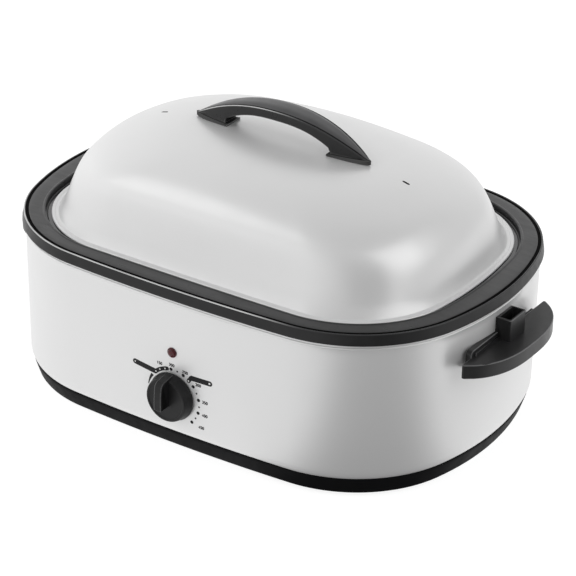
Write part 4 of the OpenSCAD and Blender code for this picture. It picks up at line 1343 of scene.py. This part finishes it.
def vdot(direction):
    n = nt.nodes.new("ShaderNodeVectorMath")
    n.operation = "DOT_PRODUCT"
    v = Vector(direction).normalized()
    n.inputs[1].default_value = v
    nt.links.new(tc.outputs["Generated"], n.inputs[0])
    return n.outputs["Value"]


def ramp(src, a, b, lo, hi):
    n = nt.nodes.new("ShaderNodeMapRange")
    n.interpolation_type = "SMOOTHSTEP"
    for k, v in (("From Min", a), ("From Max", b), ("To Min", lo), ("To Max", hi)):
        n.inputs[k].default_value = v
    nt.links.new(src, n.inputs["Value"])
    return n.outputs["Result"]


def mul(a, b):
    n = nt.nodes.new("ShaderNodeMath")
    n.operation = "MULTIPLY"
    nt.links.new(a, n.inputs[0])
    nt.links.new(b, n.inputs[1])
    return n.outputs[0]


def aim(az_d, el_d):
    return (math.sin(D(az_d)) * math.cos(D(el_d)), -math.cos(D(az_d)) * math.cos(D(el_d)), math.sin(D(el_d)))


def addv(a, b):
    n = nt.nodes.new("ShaderNodeMath")
    n.operation = "ADD"
    for v, i in ((a, 0), (b, 1)):
        if isinstance(v, float):
            n.inputs[i].default_value = v
        else:
            nt.links.new(v, n.inputs[i])
    return n.outputs[0]


dark = ramp(vdot(aim(45, 8)), 0.86, 0.99, 1.0, 0.34)
glow = addv(0.65, ramp(vdot(aim(-56, 12)), 0.1, 1.0, 0.0, 0.64))
glow = addv(glow, ramp(vdot(aim(213, 24)), 0.4, 1.0, 0.0, 0.50))
glow = addv(glow, ramp(vdot(aim(100, 5)), 0.5, 1.0, 0.0, 0.04))
zen = ramp(vdot((0, 0, 1)), 0.1, 0.95, 1.14, 0.78)
# what the camera sees past the floor's edge is plain white
lp = nt.nodes.new("ShaderNodeLightPath")
inv = nt.nodes.new("ShaderNodeMath")
inv.operation = "SUBTRACT"
inv.inputs[0].default_value = 1.0
nt.links.new(lp.outputs["Is Camera Ray"], inv.inputs[1])
nt.links.new(addv(mul(mul(mul(dark, glow), zen), inv.outputs[0]), lp.outputs["Is Camera Ray"]), bg.inputs["Strength"])


def softbox(name, az_d, el_d, dist_m, size, power, target=(0, 0, 0.1)):
    """az 0 is straight in front (-Y), positive to the right."""
    a, e = D(az_d), D(el_d)
    d = Vector((math.sin(a) * math.cos(e), -math.cos(a) * math.cos(e), math.sin(e)))
    li = bpy.data.lights.new(name, "AREA")
    li.shape = "RECTANGLE"
    li.size, li.size_y = size
    li.energy = power
    ob = bpy.data.objects.new(name, li)
    ob.location = Vector(target) + d * dist_m
    ob.rotation_euler = d.to_track_quat("Z", "Y").to_euler()
    sc.collection.objects.link(ob)
    return ob


softbox("key_left", -50, 42, 3.0, (1.9, 1.4), 5.5)
softbox("fill_right", 94, 36, 3.0, (2.5, 2.2), 19)
